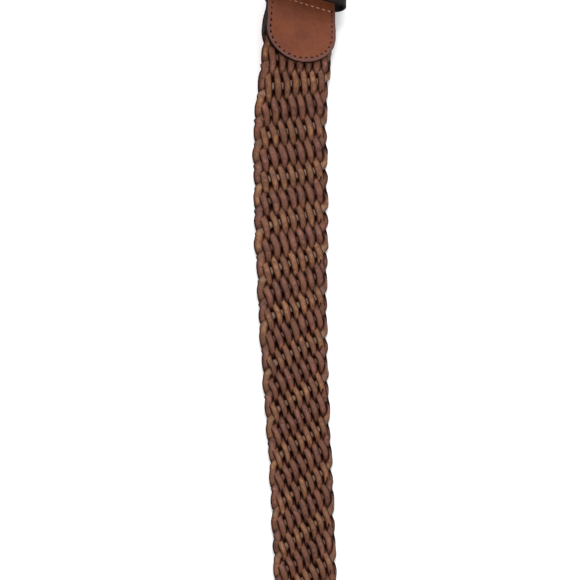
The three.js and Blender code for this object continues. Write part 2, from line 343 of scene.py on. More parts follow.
@dataclass(frozen=True)
class WaxedLeather:
    """Full-grain leather, dyed, waxed and pressed: soft sheen, fine pebbled grain, mottled dye."""

    name: str = "waxed_full_grain_leather"
    face: str = "70391b"
    shade: str = "562616"
    margin: str = "573631"
    edge: str = "120807"
    roughness: float = 0.5
    specular: float = 0.25
    wall_specular: float = 0.04
    mottle_mm: float = 9.0
    speckle_mm: float = 1.3
    grain_mm: float = 0.42
    pore_mm: float = 1.008
    margin_mm: tuple[float, float] = (2.3, 1.1)
    bump_mm: float = 0.05

    def build(self) -> bpy.types.Material:
        """Builds the material, which reads the panel's rim distance and wall marks.

        Returns:
            The material.
        """
        material, tree, shader = new_finish(self.name)
        place = add_node(tree, "ShaderNodeTexCoord").outputs["Object"]
        mottle, speckle, pore = (
            add_node(
                tree,
                "ShaderNodeTexNoise",
                {"Vector": place, "Scale": 1 / (grain_mm * MM), "Detail": detail, "Roughness": roughness},
            ).outputs["Fac"]
            for grain_mm, detail, roughness in (
                (self.mottle_mm, 4.0, 0.55),
                (self.speckle_mm, 3.0, 0.7),
                (self.pore_mm, 5.0, 0.5),
            )
        )
        both = add_node(tree, "ShaderNodeMath", {0: mottle, 1: speckle}, operation="ADD").outputs[0]
        rim = add_node(tree, "ShaderNodeAttribute", attribute_name="rim_mm").outputs["Fac"]
        wall = add_node(tree, "ShaderNodeAttribute", attribute_name="wall").outputs["Fac"]
        dye, near, gloss, shine = (
            add_node(tree, "ShaderNodeMapRange", feeds).outputs["Result"]
            for feeds in (
                {"Value": both, "From Min": 0.65, "From Max": 1.35},
                {"Value": rim, "From Min": self.margin_mm[0], "From Max": self.margin_mm[1], "To Max": 0.8},
                {"Value": mottle, "To Min": self.roughness - 0.08, "To Max": self.roughness + 0.1},
                {"Value": wall, "To Min": self.specular, "To Max": self.wall_specular},
            )
        )
        colour = linear(self.shade)
        for share, tone in ((dye, self.face), (near, self.margin), (wall, self.edge)):
            feeds = {0: share, 6: colour, 7: linear(tone)}
            colour = add_node(tree, "ShaderNodeMix", feeds, data_type="RGBA").outputs[2]
        feeds = {"Vector": place, "Scale": 1 / (self.grain_mm * MM), "Randomness": 1.0}
        pebble = add_node(tree, "ShaderNodeTexVoronoi", feeds, feature="SMOOTH_F1").outputs["Distance"]
        height = add_node(tree, "ShaderNodeMath", {0: pebble, 1: pore}, operation="ADD").outputs[0]
        feeds = {"Height": height, "Strength": 0.5, "Distance": self.bump_mm * MM}
        bump = add_node(tree, "ShaderNodeBump", feeds).outputs["Normal"]
        for source, name in (
            (colour, "Base Color"),
            (gloss, "Roughness"),
            (shine, "Specular IOR Level"),
            (bump, "Normal"),
        ):
            tree.links.new(source, shader.inputs[name])
        return material


@dataclass(frozen=True)
class LaceLeather:
    """Cut leather lace: dyed grain with streaks, dark sides that are partly the cut edge and partly painted
    shade, painted shade in the recesses, painted highlight down the middle and on the crossings.
    """

    name: str
    face: str
    # worn tone, which also carries the painted highlight down the lace's middle
    worn: str
    aged: str
    # dark sides: partly the cut edge's own tone, partly painted shade where the lace's face turns towards its
    # sides
    edge: str
    # tone of the painted highlight on the crossings
    crossing_highlight: str
    # tone of the painted shade in the recesses
    painted_recess_shade: str
    half_mm: float
    roughness: float = 0.52
    streak_mm: float = 0.34
    streak_along: float = 0.22
    apart_mm: float = 40.0
    patch_mm: float = 4.5
    area_mm: float = 7.5
    fleck_mm: float = 0.55
    crossing_highlight_share: float = 0.42
    bump_mm: float = 0.09

    def build(self) -> bpy.types.Material:
        """Builds the material, which reads each lace's own coordinates in millimetres.

        Returns:
            The material.
        """
        material, tree, shader = new_finish(self.name)
        lace = add_node(tree, "ShaderNodeAttribute", attribute_name="lace").outputs["Vector"]
        tint, crossing, depth = (
            add_node(tree, "ShaderNodeAttribute", attribute_name=name).outputs["Fac"]
            for name in ("tint", "crossing", "depth")
        )
        # each lace reads its own stretch of the patterns
        shift = add_node(tree, "ShaderNodeMath", {0: tint, 1: self.apart_mm}, operation="MULTIPLY").outputs[0]
        shift = add_node(tree, "ShaderNodeCombineXYZ", {"Z": shift}).outputs[0]
        spot = add_node(tree, "ShaderNodeVectorMath", {0: lace, 1: shift}, operation="ADD").outputs[0]
        scale = (1 / self.streak_mm, self.streak_along / self.streak_mm, 1.0)
        grain = add_node(tree, "ShaderNodeMapping", {"Vector": spot, "Scale": scale}).outputs[0]
        streak, patch, area, fleck = (
            add_node(
                tree,
                "ShaderNodeTexNoise",
                {"Vector": where, "Scale": 1 / size, "Detail": detail, "Roughness": roughness},
            ).outputs["Fac"]
            for where, size, detail, roughness in (
                (grain, 1.0, 5.0, 0.6),
                (spot, self.patch_mm, 3.0, 0.5),
                (spot, self.area_mm, 3.0, 0.5),
                (spot, self.fleck_mm, 2.0, 0.7),
            )
        )
        across = add_node(tree, "ShaderNodeSeparateXYZ", {0: lace}).outputs["X"]
        away = add_node(tree, "ShaderNodeMath", {0: across}, operation="ABSOLUTE").outputs[0]
        both = add_node(tree, "ShaderNodeMath", {0: streak, 1: patch}, operation="ADD").outputs[0]
        half = self.half_mm
        worn, centre_highlight, cut, aged, level, flecked, gloss = (
            add_node(tree, "ShaderNodeMapRange", feeds).outputs["Result"]
            for feeds in (
                {"Value": both, "From Min": 0.84, "From Max": 1.16},
                # painted highlight down the lace's middle, strongest at the centre
                {"Value": away, "From Max": half * 0.8, "To Min": 1.3, "To Max": 0.1},
                # dark sides: partly the cut edge's own tone, partly painted shade where the lace's face turns
                # away
                {"Value": away, "From Min": half * 0.55, "From Max": half * 0.97},
                {"Value": area, "From Min": 0.42, "From Max": 0.6, "To Max": 0.85},
                {"Value": tint, "To Min": 0.8, "To Max": 1.07},
                {"Value": fleck, "From Min": 0.3, "From Max": 0.7, "To Min": 0.62, "To Max": 1.4},
                {"Value": streak, "To Min": self.roughness - 0.12, "To Max": self.roughness + 0.12},
            )
        )
        wear_and_highlight, crossing_highlight, shade, hidden = (
            add_node(tree, "ShaderNodeMath", {0: a, 1: b}, operation=operation).outputs[0]
            for a, b, operation in (
                (worn, centre_highlight, "MULTIPLY"),
                (crossing, self.crossing_highlight_share, "MULTIPLY"),
                (level, flecked, "MULTIPLY"),
                (depth, cut, "MAXIMUM"),
            )
        )
        colour = linear(self.face)
        for share, tone in (
            # worn tone with the painted highlight down the lace's middle
            (wear_and_highlight, self.worn),
            (aged, self.aged),
            # dark sides: cut edge tone and painted shade
            (cut, self.edge),
            # painted highlight on the crossings
            (crossing_highlight, self.crossing_highlight),
            # painted shade in the recesses between laces
            (depth, self.painted_recess_shade),
        ):
            feeds = {0: share, 6: colour, 7: linear(tone)}
            colour = add_node(tree, "ShaderNodeMix", feeds, data_type="RGBA").outputs[2]
        toned = add_node(tree, "ShaderNodeVectorMath", {0: colour, "Scale": shade}, operation="SCALE")
        sheen = add_node(tree, "ShaderNodeMapRange", {"Value": hidden, "To Min": 0.17, "To Max": 0.01})
        feeds = {"Height": streak, "Strength": 0.6, "Distance": self.bump_mm * MM}
        bump = add_node(tree, "ShaderNodeBump", feeds)
        for source, name in (
            (toned.outputs[0], "Base Color"),
            (gloss, "Roughness"),
            (sheen.outputs["Result"], "Specular IOR Level"),
            (bump.outputs["Normal"], "Normal"),
        ):
            tree.links.new(source, shader.inputs[name])
        return material


@dataclass(frozen=True)
class WaxedThread:
    """Twisted waxed thread: small diagonal plies, low sheen."""

    name: str = "waxed_thread"
    lit: str = "683d28"
    deep: str = "432314"
    ply_mm: float = 0.32
    band_scale: float = 0.16
    roughness: float = 0.6

    def build(self) -> bpy.types.Material:
        """Builds the thread material.

        Returns:
            The material.
        """
        material, tree, shader = new_finish(self.name)
        place = add_node(tree, "ShaderNodeTexCoord").outputs["Object"]
        feeds = {"Vector": place, "Scale": self.band_scale / (self.ply_mm * MM), "Distortion": 1.5}
        plies = add_node(tree, "ShaderNodeTexWave", feeds, bands_direction="DIAGONAL")
        two_tone(tree, plies.outputs["Fac"], (self.deep, self.lit), (0.5, 0.05))
        shader.inputs["Roughness"].default_value = self.roughness
        return material


@dataclass(frozen=True)
class DarkEdge:
    """Dark finish of a cut edge or a stitch hole: paint in faint layers on the edge, painted shade in the
    hole.
    """

    name: str
    dark: str
    light: str
    grain_mm: float
    roughness: float
    specular: float
    relief: tuple[float, ...] = ()

    def build(self) -> bpy.types.Material:
        """Builds the dark finish.

        Returns:
            The material.
        """
        material, tree, shader = new_finish(self.name)
        place = add_node(tree, "ShaderNodeTexCoord").outputs["Object"]
        feeds = {"Vector": place, "Scale": 1 / (self.grain_mm * MM)}
        grain = add_node(tree, "ShaderNodeTexNoise", feeds).outputs["Fac"]
        two_tone(tree, grain, (self.dark, self.light), self.relief)
        shader.inputs["Roughness"].default_value = self.roughness
        shader.inputs["Specular IOR Level"].default_value = self.specular
        return material


# black-brown paint over glued leather edges: smooth, a little uneven between its coats
EDGE_PAINT = DarkEdge("edge_paint", "120707", "1f0f0d", 0.5, 0.6, 0.05, (0.4, 0.06))
# painted shade inside a punched stitch hole: a dark bead without gloss
HOLE_SHADE = DarkEdge("stitch_hole_shadow", "120504", "1e0c08", 0.2, 0.95, 0.1)


@dataclass(frozen=True)
class SatinNickel:
    """Plated zinc casting, satin finished: soft metal gloss with very fine lines from rubbing."""

    name: str = "satin_nickel_plate"
    bright: str = "b5aca0"
    dull: str = "8a8178"
    roughness: float = 0.3
    # the real plate's lines from rubbing are finer than 0.1 mm; these are as coarse as they need to show
    line_mm: float = 0.25
    line_along: float = 0.12

    def build(self) -> bpy.types.Material:
        """Builds the metal.

        Returns:
            The material.
        """
        material, tree, shader = new_finish(self.name)
        place = add_node(tree, "ShaderNodeTexCoord").outputs["Object"]
        feeds = {"Vector": place, "Scale": (1.0, self.line_along, 1.0)}
        stretched = add_node(tree, "ShaderNodeMapping", feeds).outputs[0]
        feeds = {"Vector": stretched, "Scale": 1 / (self.line_mm * MM), "Detail": 3.0}
        lines = add_node(tree, "ShaderNodeTexNoise", feeds).outputs["Fac"]
        two_tone(tree, lines, (self.dull, self.bright), (0.15, 0.02))
        feeds = {"Value": lines, "To Min": self.roughness - 0.06, "To Max": self.roughness + 0.1}
        gloss = add_node(tree, "ShaderNodeMapRange", feeds).outputs["Result"]
        tree.links.new(gloss, shader.inputs["Roughness"])
        shader.inputs["Metallic"].default_value = 1.0
        return material


@dataclass(frozen=True)
class MattPaper:
    """Plain white paper floor of a product table: even, without gloss."""

    name: str = "matt_white_paper"
    white: str = "ffffff"

    def build(self) -> bpy.types.Material:
        """Builds the floor material.

        Returns:
            The material.
        """
        material, _, shader = new_finish(self.name)
        shader.inputs["Base Color"].default_value = linear(self.white)
        shader.inputs["Roughness"].default_value = 1.0
        shader.inputs["Specular IOR Level"].default_value = 0.0
        return material


@dataclass
class StrapSizes:
    """Sizes of the belt in millimetres, the same as in the part's source."""

    width: float = 38.0
    braid_length: float = 856.0
    braid_thickness: float = 3.4
    pressed_thickness: float = 2.4
    braid_tuck: float = 20.0
    row_pitch: float = 12.4
    leather: float = 1.3
    clearance: float = 0.3
    tab_round: float = 16.5
    seam: float = 29.0
    bar: float = 50.0
    front_dip: float = 0.6
    slot_margin: float = 1.2
    slot_reach: float = 6.0
    keeper_from_seam: float = 2.6
    keeper_band: float = 12.0
    keeper_thickness: float = 1.4
    keeper_height: float = 4.4
    keeper_slack: float = 1.4
    keeper_corner: float = 2.4
    bar_radius: float = 2.3
    buckle_length: float = 44.0
    buckle_wire: float = 5.0
    buckle_thickness: float = 4.0
    buckle_corner: float = 10.0
    buckle_slack: float = 1.5
    prong_radius: float = 1.9
    prong_collar: float = 1.3
    prong_overhang: float = 1.5
    tip_length: float = 95.0
    tip_round: float = 16.5
    tip_point: float = 24.0
    tip_blunt: float = 0.78

    @property
    def half(self) -> float:
        """Half the belt's width."""
        return self.width / 2

    @property
    def layer_level(self) -> float:
        """Middle of a leather layer over the pressed braid."""
        return self.pressed_thickness / 2 + self.clearance + self.leather / 2

    @property
    def stack_half(self) -> float:
        """Half the thickness of leather, braid and leather."""
        return self.layer_level + self.leather / 2

    @property
    def front_level(self) -> float:
        """Middle of the front layer past the braid's end."""
        return self.layer_level - self.front_dip

    @property
    def fold_radius(self) -> float:
        """Radius of the leather's middle round the bar."""
        return self.bar_radius + self.clearance + self.leather / 2

    @property
    def bar_level(self) -> float:
        """Height of the bar over the strap's middle."""
        return self.front_level - self.fold_radius

    @property
    def keeper_step(self) -> float:
        """From a leather layer's middle to the keeper band's middle beside it."""
        return self.leather / 2 + self.clearance + self.keeper_thickness / 2

    @property
    def keeper_low(self) -> float:
        """Keeper's lower rim, from the round end's tip."""
        return self.seam + self.keeper_from_seam

    @property
    def row_count(self) -> int:
        """Rows of the plait that show."""
        return round(self.braid_length / self.row_pitch)

    @property
    def row_step(self) -> float:
        """Exact distance between two rows."""
        return self.braid_length / self.row_count


# run, side, raise, proud, roll and skew, as in the part's source
TAB_POSE = (
    (1.9, 0.15, 0.24, 1, 33, 0),
    (1, 0.145, 0.114, 1, 33, 0),
    (0.58, 0.13, 0.042, 1, 31, 0),
    (0.3, 0.11, 0.012, 1, 25.5, 5),
)
BRAID_POSE = (
    (0, 0.079, 0, 1, 19, 10),
    (0.015, 0.03, 0.004, 0.3, 12, 18),
    (0.03, 0.004, 0, 0, 6, 15),
    (0.053, 0, 0, 0, 0, 12),
    (0.088, 0.008, 0, 0, 0, 13.5),
    (0.123, 0.021, 0, 0, 0, 21),
    (0.151, 0.034, 0, 0, 0, 25),
    (0.18, 0.05, 0, 0, 0, 29),
    (0.228, 0.1, 0, 0, 0, 33.5),
    (0.263, 0.139, 0, 0, 0, 35.5),
    (0.32, 0.184, 0, 0, 0, 37),
    (0.4, 0.21, 0, 0, 0, 34),
    (0.55, 0.2, 0, 0, 0, 17),
    (0.72, 0.19, 0, 0, 0, 3),
    (0.96, 0.184, 0, 0, 0, 0),
    (1, 0.184, 0, 1, 0, 0),
    (1.2, 0.184, 0, 1, 0, 0),
)
POSE_COLUMNS = ("side", "raise", "proud", "roll", "skew")


class Side(Enum):
    """Face of the strap that a leather layer covers; the value is the way that it looks."""

    FRONT = 1
    BACK = -1


@dataclass
class StrapCourse:
    """How the strap lies: its middle, its directions and its rows' skew along its length."""

    sizes: StrapSizes
    step: float = 0.5
    rest_gap: float = 0.15
    # stretch past the tip that only smooths the course's end
    spare_end: float = 40.0
    offset: Array = field(default_factory=lambda: np.zeros(3))

    def __post_init__(self) -> None:
        """Works out the course once, on a fine grid of distances."""
        size = self.sizes
        rows = [(-row[0] * size.bar, *row[1:]) for row in TAB_POSE]
        rows += [(row[0] * size.braid_length, *row[1:]) for row in BRAID_POSE]
        table = np.array(rows, float)
        self.at = np.arange(table[0, 0], table[-1, 0] - self.spare_end, self.step)
        self.columns = {
            name: self._smooth(table[:, 0], table[:, i]) for i, name in enumerate(POSE_COLUMNS, 1)
        }
        roll = np.radians(np.maximum(self.columns["roll"], 0))
        proud = np.clip(self.columns["proud"], 0, 1)
        lift = size.half * np.sin(roll) + size.braid_thickness / 2
        lift = lift + np.maximum(self.columns["raise"], 0) * size.width
        lift = lift + proud * (size.stack_half - size.braid_thickness / 2)
        self.middle = np.stack([self.columns["side"] * size.width, -self.at, lift], axis=1)
        self.along = unit(-np.gradient(self.middle, self.step, axis=0))
        level = unit(np.cross(self.along, (0.0, 0.0, 1.0)))
        up = np.cross(level, self.along)
        self.across = level * np.cos(roll)[:, None] - up * np.sin(roll)[:, None]
        self.out = np.cross(self.across, self.along)

    def _smooth(self, stops: Array, values: Array) -> Array:
        """Runs a smooth curve through one column's values.

        Args:
            stops: Distances of the stations.
            values: The column at the stations.

        Returns:
            The column on the fine grid.
        """
        low = np.maximum(np.arange(len(stops)) - 1, 0)
        high = np.minimum(np.arange(len(stops)) + 1, len(stops) - 1)
        slope = (values[high] - values[low]) / (stops[high] - stops[low])
        i = np.clip(np.searchsorted(stops, self.at, side="right") - 1, 0, len(stops) - 2)
        span = stops[i + 1] - stops[i]
        q = np.clip((self.at - stops[i]) / span, 0, 1)
        rise = q * q * (3 - 2 * q)
        bend = slope[i] * q * (1 - q) ** 2 - slope[i + 1] * q * q * (1 - q)
        return values[i] * (1 - rise) + values[i + 1] * rise + bend * span

    def skew(self, at: Array | float) -> Array:
        """Degrees by which the rows turn at given distances."""
        return np.interp(at, self.at, self.columns["skew"])

    def read(self, rows: Array, at: Array) -> Array:
        """Reads a vector column at given distances."""
        return np.stack([np.interp(at, self.at, rows[:, k]) for k in range(3)], axis=-1)

    def place(self, u: Array, at: Array, n: Array) -> Array:
        """Places points given across, along and out of the strap.

        Args:
            u: Distance across from the middle, in millimetres.
            at: Distance down the belt from the fold's tip, in millimetres.
            n: Height over the strap's middle surface, in millimetres.

        Returns:
            Points in metres, one row each.
        """
        u, at, n = (np.asarray(v, float) for v in np.broadcast_arrays(u, at, n))
        point = self.read(self.middle, at)
        point = point + self.read(self.across, at) * u[..., None]
        point = point + self.read(self.out, at) * n[..., None]
        return point * MM + self.offset

    def place_row(self, u: Array, at: Array, n: Array) -> Array:
        """Places points given on a braid row, whose right end turns towards the buckle.

        Args:
            u: Distance along the row from the middle, in millimetres.
            at: Distance down the belt of the row's middle, in millimetres.
            n: Height over the strap's middle surface, in millimetres.

        Returns:
            Points in metres, one row each.
        """
        skew = np.radians(self.skew(at))
        return self.place(u * np.cos(skew), at - u * np.sin(skew), n)

    def face_line(self, u: Array, at: Array, level: Array, side: Side) -> Line:
        """Places a line on one face of a leather layer.

        Args:
            u: Distance across of its points, in millimetres.
            at: Distance down the belt.
            level: Height over the strap's middle surface.
            side: Side to which the face looks.

        Returns:
            Points in metres, and the direction in which the face looks at each.
        """
        centre = self.place(u, at, level)
        return centre, unit((self.place(u, at, level + side.value) - centre) / MM)

    def anchor(self) -> None:
        """Moves the course onto the frame's leather tip, which lies straight and flat."""
        low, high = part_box("tip_tab")
        size = self.sizes
        side = np.interp(size.braid_length + size.tip_length / 2, self.at, self.middle[:, 0])
        right = (low[0] + high[0]) / 2 - side * MM
        self.offset = np.array([right, high[1] + size.braid_length * MM, self.rest_gap * MM])


class LaceColour(Enum):
    """The two dyes of the plait's laces, by the parity of the lace's number."""

    TAN = 1
    BROWN = 0


@dataclass(frozen=True)
class LaceCut:
    """How wide a dye's laces are cut, and how they turn at the edges, in millimetres and degrees."""

    width: float
    reach: float
    right_in: float
    stand: float


CUTS = {
    LaceColour.TAN: LaceCut(width=3.7, reach=18.55, right_in=0.95, stand=-58.0),
    LaceColour.BROWN: LaceCut(width=4.0, reach=18.15, right_in=1.5, stand=-30.0),
}

# where a lace turns at the left edge: mm from its outermost place, rows, height in mm, tilt
LEFT_TURN = (
    (0.65, 0.42, 0.51, 0.0),
    (0.05, 0.66, 0.39, -4.0),
    (0.3, 0.94, 0.0, -4.0),
    (1.25, 1.24, -0.8, 0.0),
    (2.1, 1.5, -0.6, 4.0),
)
# the same at the right edge, with a share of the lace's stand as its tilt, before and into a crossing
RIGHT_TURN = ((-1.2, -0.04, -0.9, 0.3), (0.0, 0.28, -0.4, 1.0), (0.1, 0.56, 0.1, 1.0))
ENTRY = (-1.0, -0.2, 0.18, 0.3)
# length in mm and share of the waves in which a lace wanders
WAVES = np.array([(31.0, 0.45), (17.0, 0.35), (9.0, 0.2)])


@dataclass
class Plait:
    """Sixteen laces: fifteen run down, and at each row the rightmost one crosses to the left."""

    sizes: StrapSizes
    course: StrapCourse
    laces: int = 16
    lace_thickness: float = 1.2
    section_power: float = 3.2
    section_points: int = 12
    lane_pitch: float = 2.23
    lane_shift: float = 0.5
    float_height: float = 1.04
    flatness: float = 0.6
    tilt: float = 14.0
    cross_height: float = 0.3
    lean: float = 0.23
    lean_phase: float = -0.14
    lean_turn: float = 0.2
    lean_more: float = 0.05
    first_lane_shift: float = -0.5
    left_droop: float = 0.34
    right_rise: float = 0.12
    row_shift: float = -3.6
    hidden_share: float = 0.94
    pinch: float = 0.1
    girth: float = 0.82
    swell_raised: float = 0.19
    swell_beside: float = 0.26
    swell_crossing: float = 0.2
    swell_under: float = 0.38
    swell_inner: float = 0.34
    squeeze: float = 0.14
    entry_mark: float = 0.3
    first_mark: float = 0.25
    crossing_highlight_fade: float = 0.6
    run_from: float = 1.8
    run_until: float = 0.5
    # where a change sets in and where it is complete: rows after the crossing
    shift_rows: tuple[float, float] = (1.8, 3.4)
    droop_rows: tuple[float, float] = (0.4, 3.2)
    mark_rows: tuple[float, float] = (0.9, 2.6)
    # the same in millimetres: height, place across, or distance past the braid's visible end
    raised_mm: tuple[float, float] = (0.3, 1.05)
    under_mm: tuple[float, float] = (0.1, 0.8)
    recess_shade_mm: tuple[float, float] = (-0.15, 0.75)
    beside_mm: tuple[float, float] = (13.6, 15.6)
    inner_mm: tuple[float, float] = (11.5, 13.5)
    press_mm: tuple[float, float] = (-6.0, 0.0)
    pinch_mm: tuple[float, float] = (11.0, 16.0)
    # the same in degrees of the rows' skew
    phase_skew: tuple[float, float] = (14.0, 35.0)
    lean_skew: tuple[float, float] = (28.0, 36.0)
    squeeze_skew: tuple[float, float] = (18.0, 34.0)
    crossing_highlight_fade_skew: tuple[float, float] = (27.0, 35.0)
    samples_per_row: int = 10
    seed: int = 7
    # wander of a lace's place in mm, its row, height in mm, tilt in degrees, and girth
    uneven: tuple[float, ...] = (0.28, 0.05, 0.05, 9.0, 0.08)

    def _lane(self, i: float, row: float) -> float:
        """Place across of a running lace, i rows after it crossed.

        Args:
            i: Rows since the crossing.
            row: Row that the lace has reached, whose skew makes the lace lean more.

        Returns:
            Distance from the strap's middle, in millimetres.
        """
        skew = self.course.skew(row * self.sizes.row_step + self.row_shift)
        phase = self.lean_phase - self.lean_turn * smooth_step(skew, *self.phase_skew)
        lean = self.lean + self.lean_more * smooth_step(skew, *self.lean_skew)
        lane = (i + lean * np.cos(np.pi * (i + phase)) - self.laces / 2) * self.lane_pitch + self.lane_shift
        return float(lane + self.first_lane_shift * (1 - smooth_step(i, *self.shift_rows)))

    def _cycle(self, row: int) -> list[tuple[float, ...]]:
        """One lace from its crossing at a row to just before its next one.

        Args:
            row: Row where the lace crosses.

        Returns:
            Across, row, height, tilt and crossing mark of each control point.
        """
        lanes = self.laces - 1
        cut = CUTS[LaceColour(row % 2)]
        left, right = cut.width / 2 - cut.reach, cut.reach - cut.right_in
        inward, ahead, height, share = ENTRY
        points = [(right + inward, row + ahead, height, cut.stand * share, self.entry_mark)]
        for i in np.linspace(lanes, 1.0, 2 * lanes - 1):
            droop = self.left_droop * (1 - smooth_step(i, *self.droop_rows))
            droop -= self.right_rise * smooth_step(i, lanes - 2, lanes)
            height = -self.cross_height * math.cos(math.pi * i)
            mark = self.first_mark + (1 - self.first_mark) * smooth_step(i, *self.mark_rows)
            points.append((self._lane(i, row), row + droop, height, 0.0, mark))
        points += [(left + inward, row + down, height, tilt, 0.0) for inward, down, height, tilt in LEFT_TURN]
        steps = round((lanes - self.run_from - self.run_until) * self.samples_per_row)
        for i in np.linspace(self.run_from, lanes - self.run_until, steps + 1):
            wave = math.cos(math.pi * i)
            height = self.float_height * math.copysign(abs(wave) ** self.flatness, wave)
            tilt = self.tilt * math.sin(math.pi * i) ** 2
            points.append((self._lane(i, row + i), row + i, height, tilt, 0.0))
        for outward_mm, down, height, share in RIGHT_TURN:
            points.append((right + outward_mm, row + lanes + down, height, cut.stand * share, 0.0))
        return points

    def _through(self, control: Array) -> Array:
        """Runs a smooth curve through control points, and spaces its points evenly.

        Args:
            control: Across, row, height, tilt and crossing mark of each point.

        Returns:
            The same columns, evenly spaced along the curve.
        """
        chord = travelled(control[:, :3] * (1.0, self.sizes.row_step, 1.0))
        slope = np.gradient(control, chord, axis=0)
        want = np.arange(0, chord[-1], self.sizes.row_step / self.samples_per_row)
        i = np.clip(np.searchsorted(chord, want, side="right") - 1, 0, len(chord) - 2)
        span = (chord[i + 1] - chord[i])[:, None]
        q = ((want - chord[i]) / span[:, 0])[:, None]
        return (
            control[i] * (2 * q**3 - 3 * q**2 + 1)
            + control[i + 1] * (3 * q**2 - 2 * q**3)
            + slope[i] * span * (q**3 - 2 * q**2 + q)
            + slope[i + 1] * span * (q**3 - q**2)
        )

    def _wander(self, rng: np.random.Generator, count: int) -> Array:
        """Slow seeded unevenness along a lace.

        Args:
            rng: Source of the waves' phases.
            count: Number of points along the lace.

        Returns:
            Unevenness at each point, within about one either way.
        """
        along = np.arange(count)[:, None] * self.sizes.row_step / self.samples_per_row
        return np.sin(2 * np.pi * (along / WAVES[:, 0] + rng.uniform(0, 1, len(WAVES)))) @ WAVES[:, 1]

    def _girth(self, curve: Array, skew: Array) -> Array:
        """Width of a lace along its way, as a share of the cut width.

        Args:
            curve: Across, row, height, tilt and crossing mark of each point.
            skew: Skew of the rows at each point, in degrees.

        Returns:
            The share at each point.
        """
        across, _, height, _, mark = curve.T
        raised = smooth_step(np.abs(height), *self.raised_mm)
        beside = smooth_step(np.abs(across), *self.beside_mm)
        under = smooth_step(-height, *self.under_mm) * (1 - beside)
        inner = smooth_step(-across, *self.inner_mm) * (1 - raised)
        swells = (
            self.swell_raised * raised,
            self.swell_beside * beside,
            self.swell_crossing * mark,
            self.swell_under * under,
            self.swell_inner * inner,
        )
        narrow = 1 - self.squeeze * smooth_step(skew, *self.squeeze_skew)
        return (self.girth + np.maximum.reduce(swells)) * narrow

    def lace(self, index: int) -> tuple[Line, Array]:
        """Middle line of one lace over the whole braid.

        Args:
            index: Number of the lace, which is also the first row that it crosses.

        Returns:
            Points in metres and face directions, then the run, the painted recess shade, the painted crossing
            highlight and the girth of each.
        """
        size, course = self.sizes, self.course
        last = math.ceil(size.row_count + size.braid_tuck / size.row_step)
        control: list[tuple[float, ...]] = []
        for row in range(index - self.laces, last, self.laces):
            control += self._cycle(row)
        curve = self._through(np.array(control))
        rng = np.random.default_rng(self.seed + index)
        for column, amount in enumerate(self.uneven[:4]):
            curve[:, column] += amount * self._wander(rng, len(curve))
        at = curve[:, 1] * size.row_step + self.row_shift
        tuck = size.braid_tuck * self.hidden_share
        inside = (at > -tuck) & (at < size.braid_length + tuck)
        curve, at = curve[inside], at[inside]
        skew = course.skew(at)
        # leather presses the tucked ends flat, and holds them together
        hidden = np.maximum(-at, at - size.braid_length)
        press = 1 - (1 - size.pressed_thickness / size.braid_thickness) * smooth_step(hidden, *self.press_mm)
        real = at - curve[:, 0] * np.sin(np.radians(skew))
        covered = smooth_step(np.maximum(-real, real - size.braid_length), *self.pinch_mm)
        across, height = curve[:, 0] * (1 - self.pinch * covered), curve[:, 2] * press
        centre = course.place_row(across, at, height)
        out = unit(course.place_row(across, at, height + 1.0) - centre)
        tangent = unit(np.gradient(centre, axis=0))
        face = unit(out - tangent * np.sum(out * tangent, axis=1, keepdims=True))
        tilt = np.radians(curve[:, 3])[:, None]
        face = face * np.cos(tilt) + np.cross(tangent, face) * np.sin(tilt)
        run = travelled(centre) / MM
        # painted shade in the recesses: darker where the lace runs low, but not at its crossing
        depth = smooth_step(-curve[:, 2], *self.recess_shade_mm) * (1 - curve[:, 4])
        girth = self._girth(curve, skew) * (1 + self.uneven[4] * self._wander(rng, len(curve)))
        # a tilted lace stands on the floor, not in it
        width = CUTS[LaceColour(index % 2)].width
        below = width * np.abs(np.sin(tilt[:, 0])) + self.lace_thickness * np.cos(tilt[:, 0])
        centre[:, 2] = np.maximum(centre[:, 2], below * girth / 2 * MM)
        # painted highlight on the crossings, fainter where the rows turn most
        crossing_highlight = curve[:, 4] * (1 - self.crossing_highlight_fade * smooth_step(skew, *self.crossing_highlight_fade_skew))
        return (centre, face), np.stack([run, depth, crossing_highlight, girth])

    def sweep_tree(self) -> bpy.types.NodeTree:
        """Geometry Nodes that sweep a rounded flat section along each lace's middle line.

        Returns:
            The node tree, with inputs Width, Thickness, Roundness and Finish.
        """
        inputs = {"Width": "Float", "Thickness": "Float", "Roundness": "Float", "Finish": "Material"}
        tree, entry = new_tree("lace_sweep", inputs)
        facing, girth, run = (
            add_node(tree, "GeometryNodeInputNamedAttribute", {"Name": name}, data_type=kind).outputs[0]
            for name, kind in (("face", "FLOAT_VECTOR"), ("girth", "FLOAT"), ("run", "FLOAT"))
        )
        rail = add_node(tree, "GeometryNodeMeshToCurve", {"Mesh": entry["Geometry"]}).outputs[0]
        rail = add_node(tree, "GeometryNodeSetCurveNormal", {"Curve": rail, "Normal": facing}, mode="FREE")

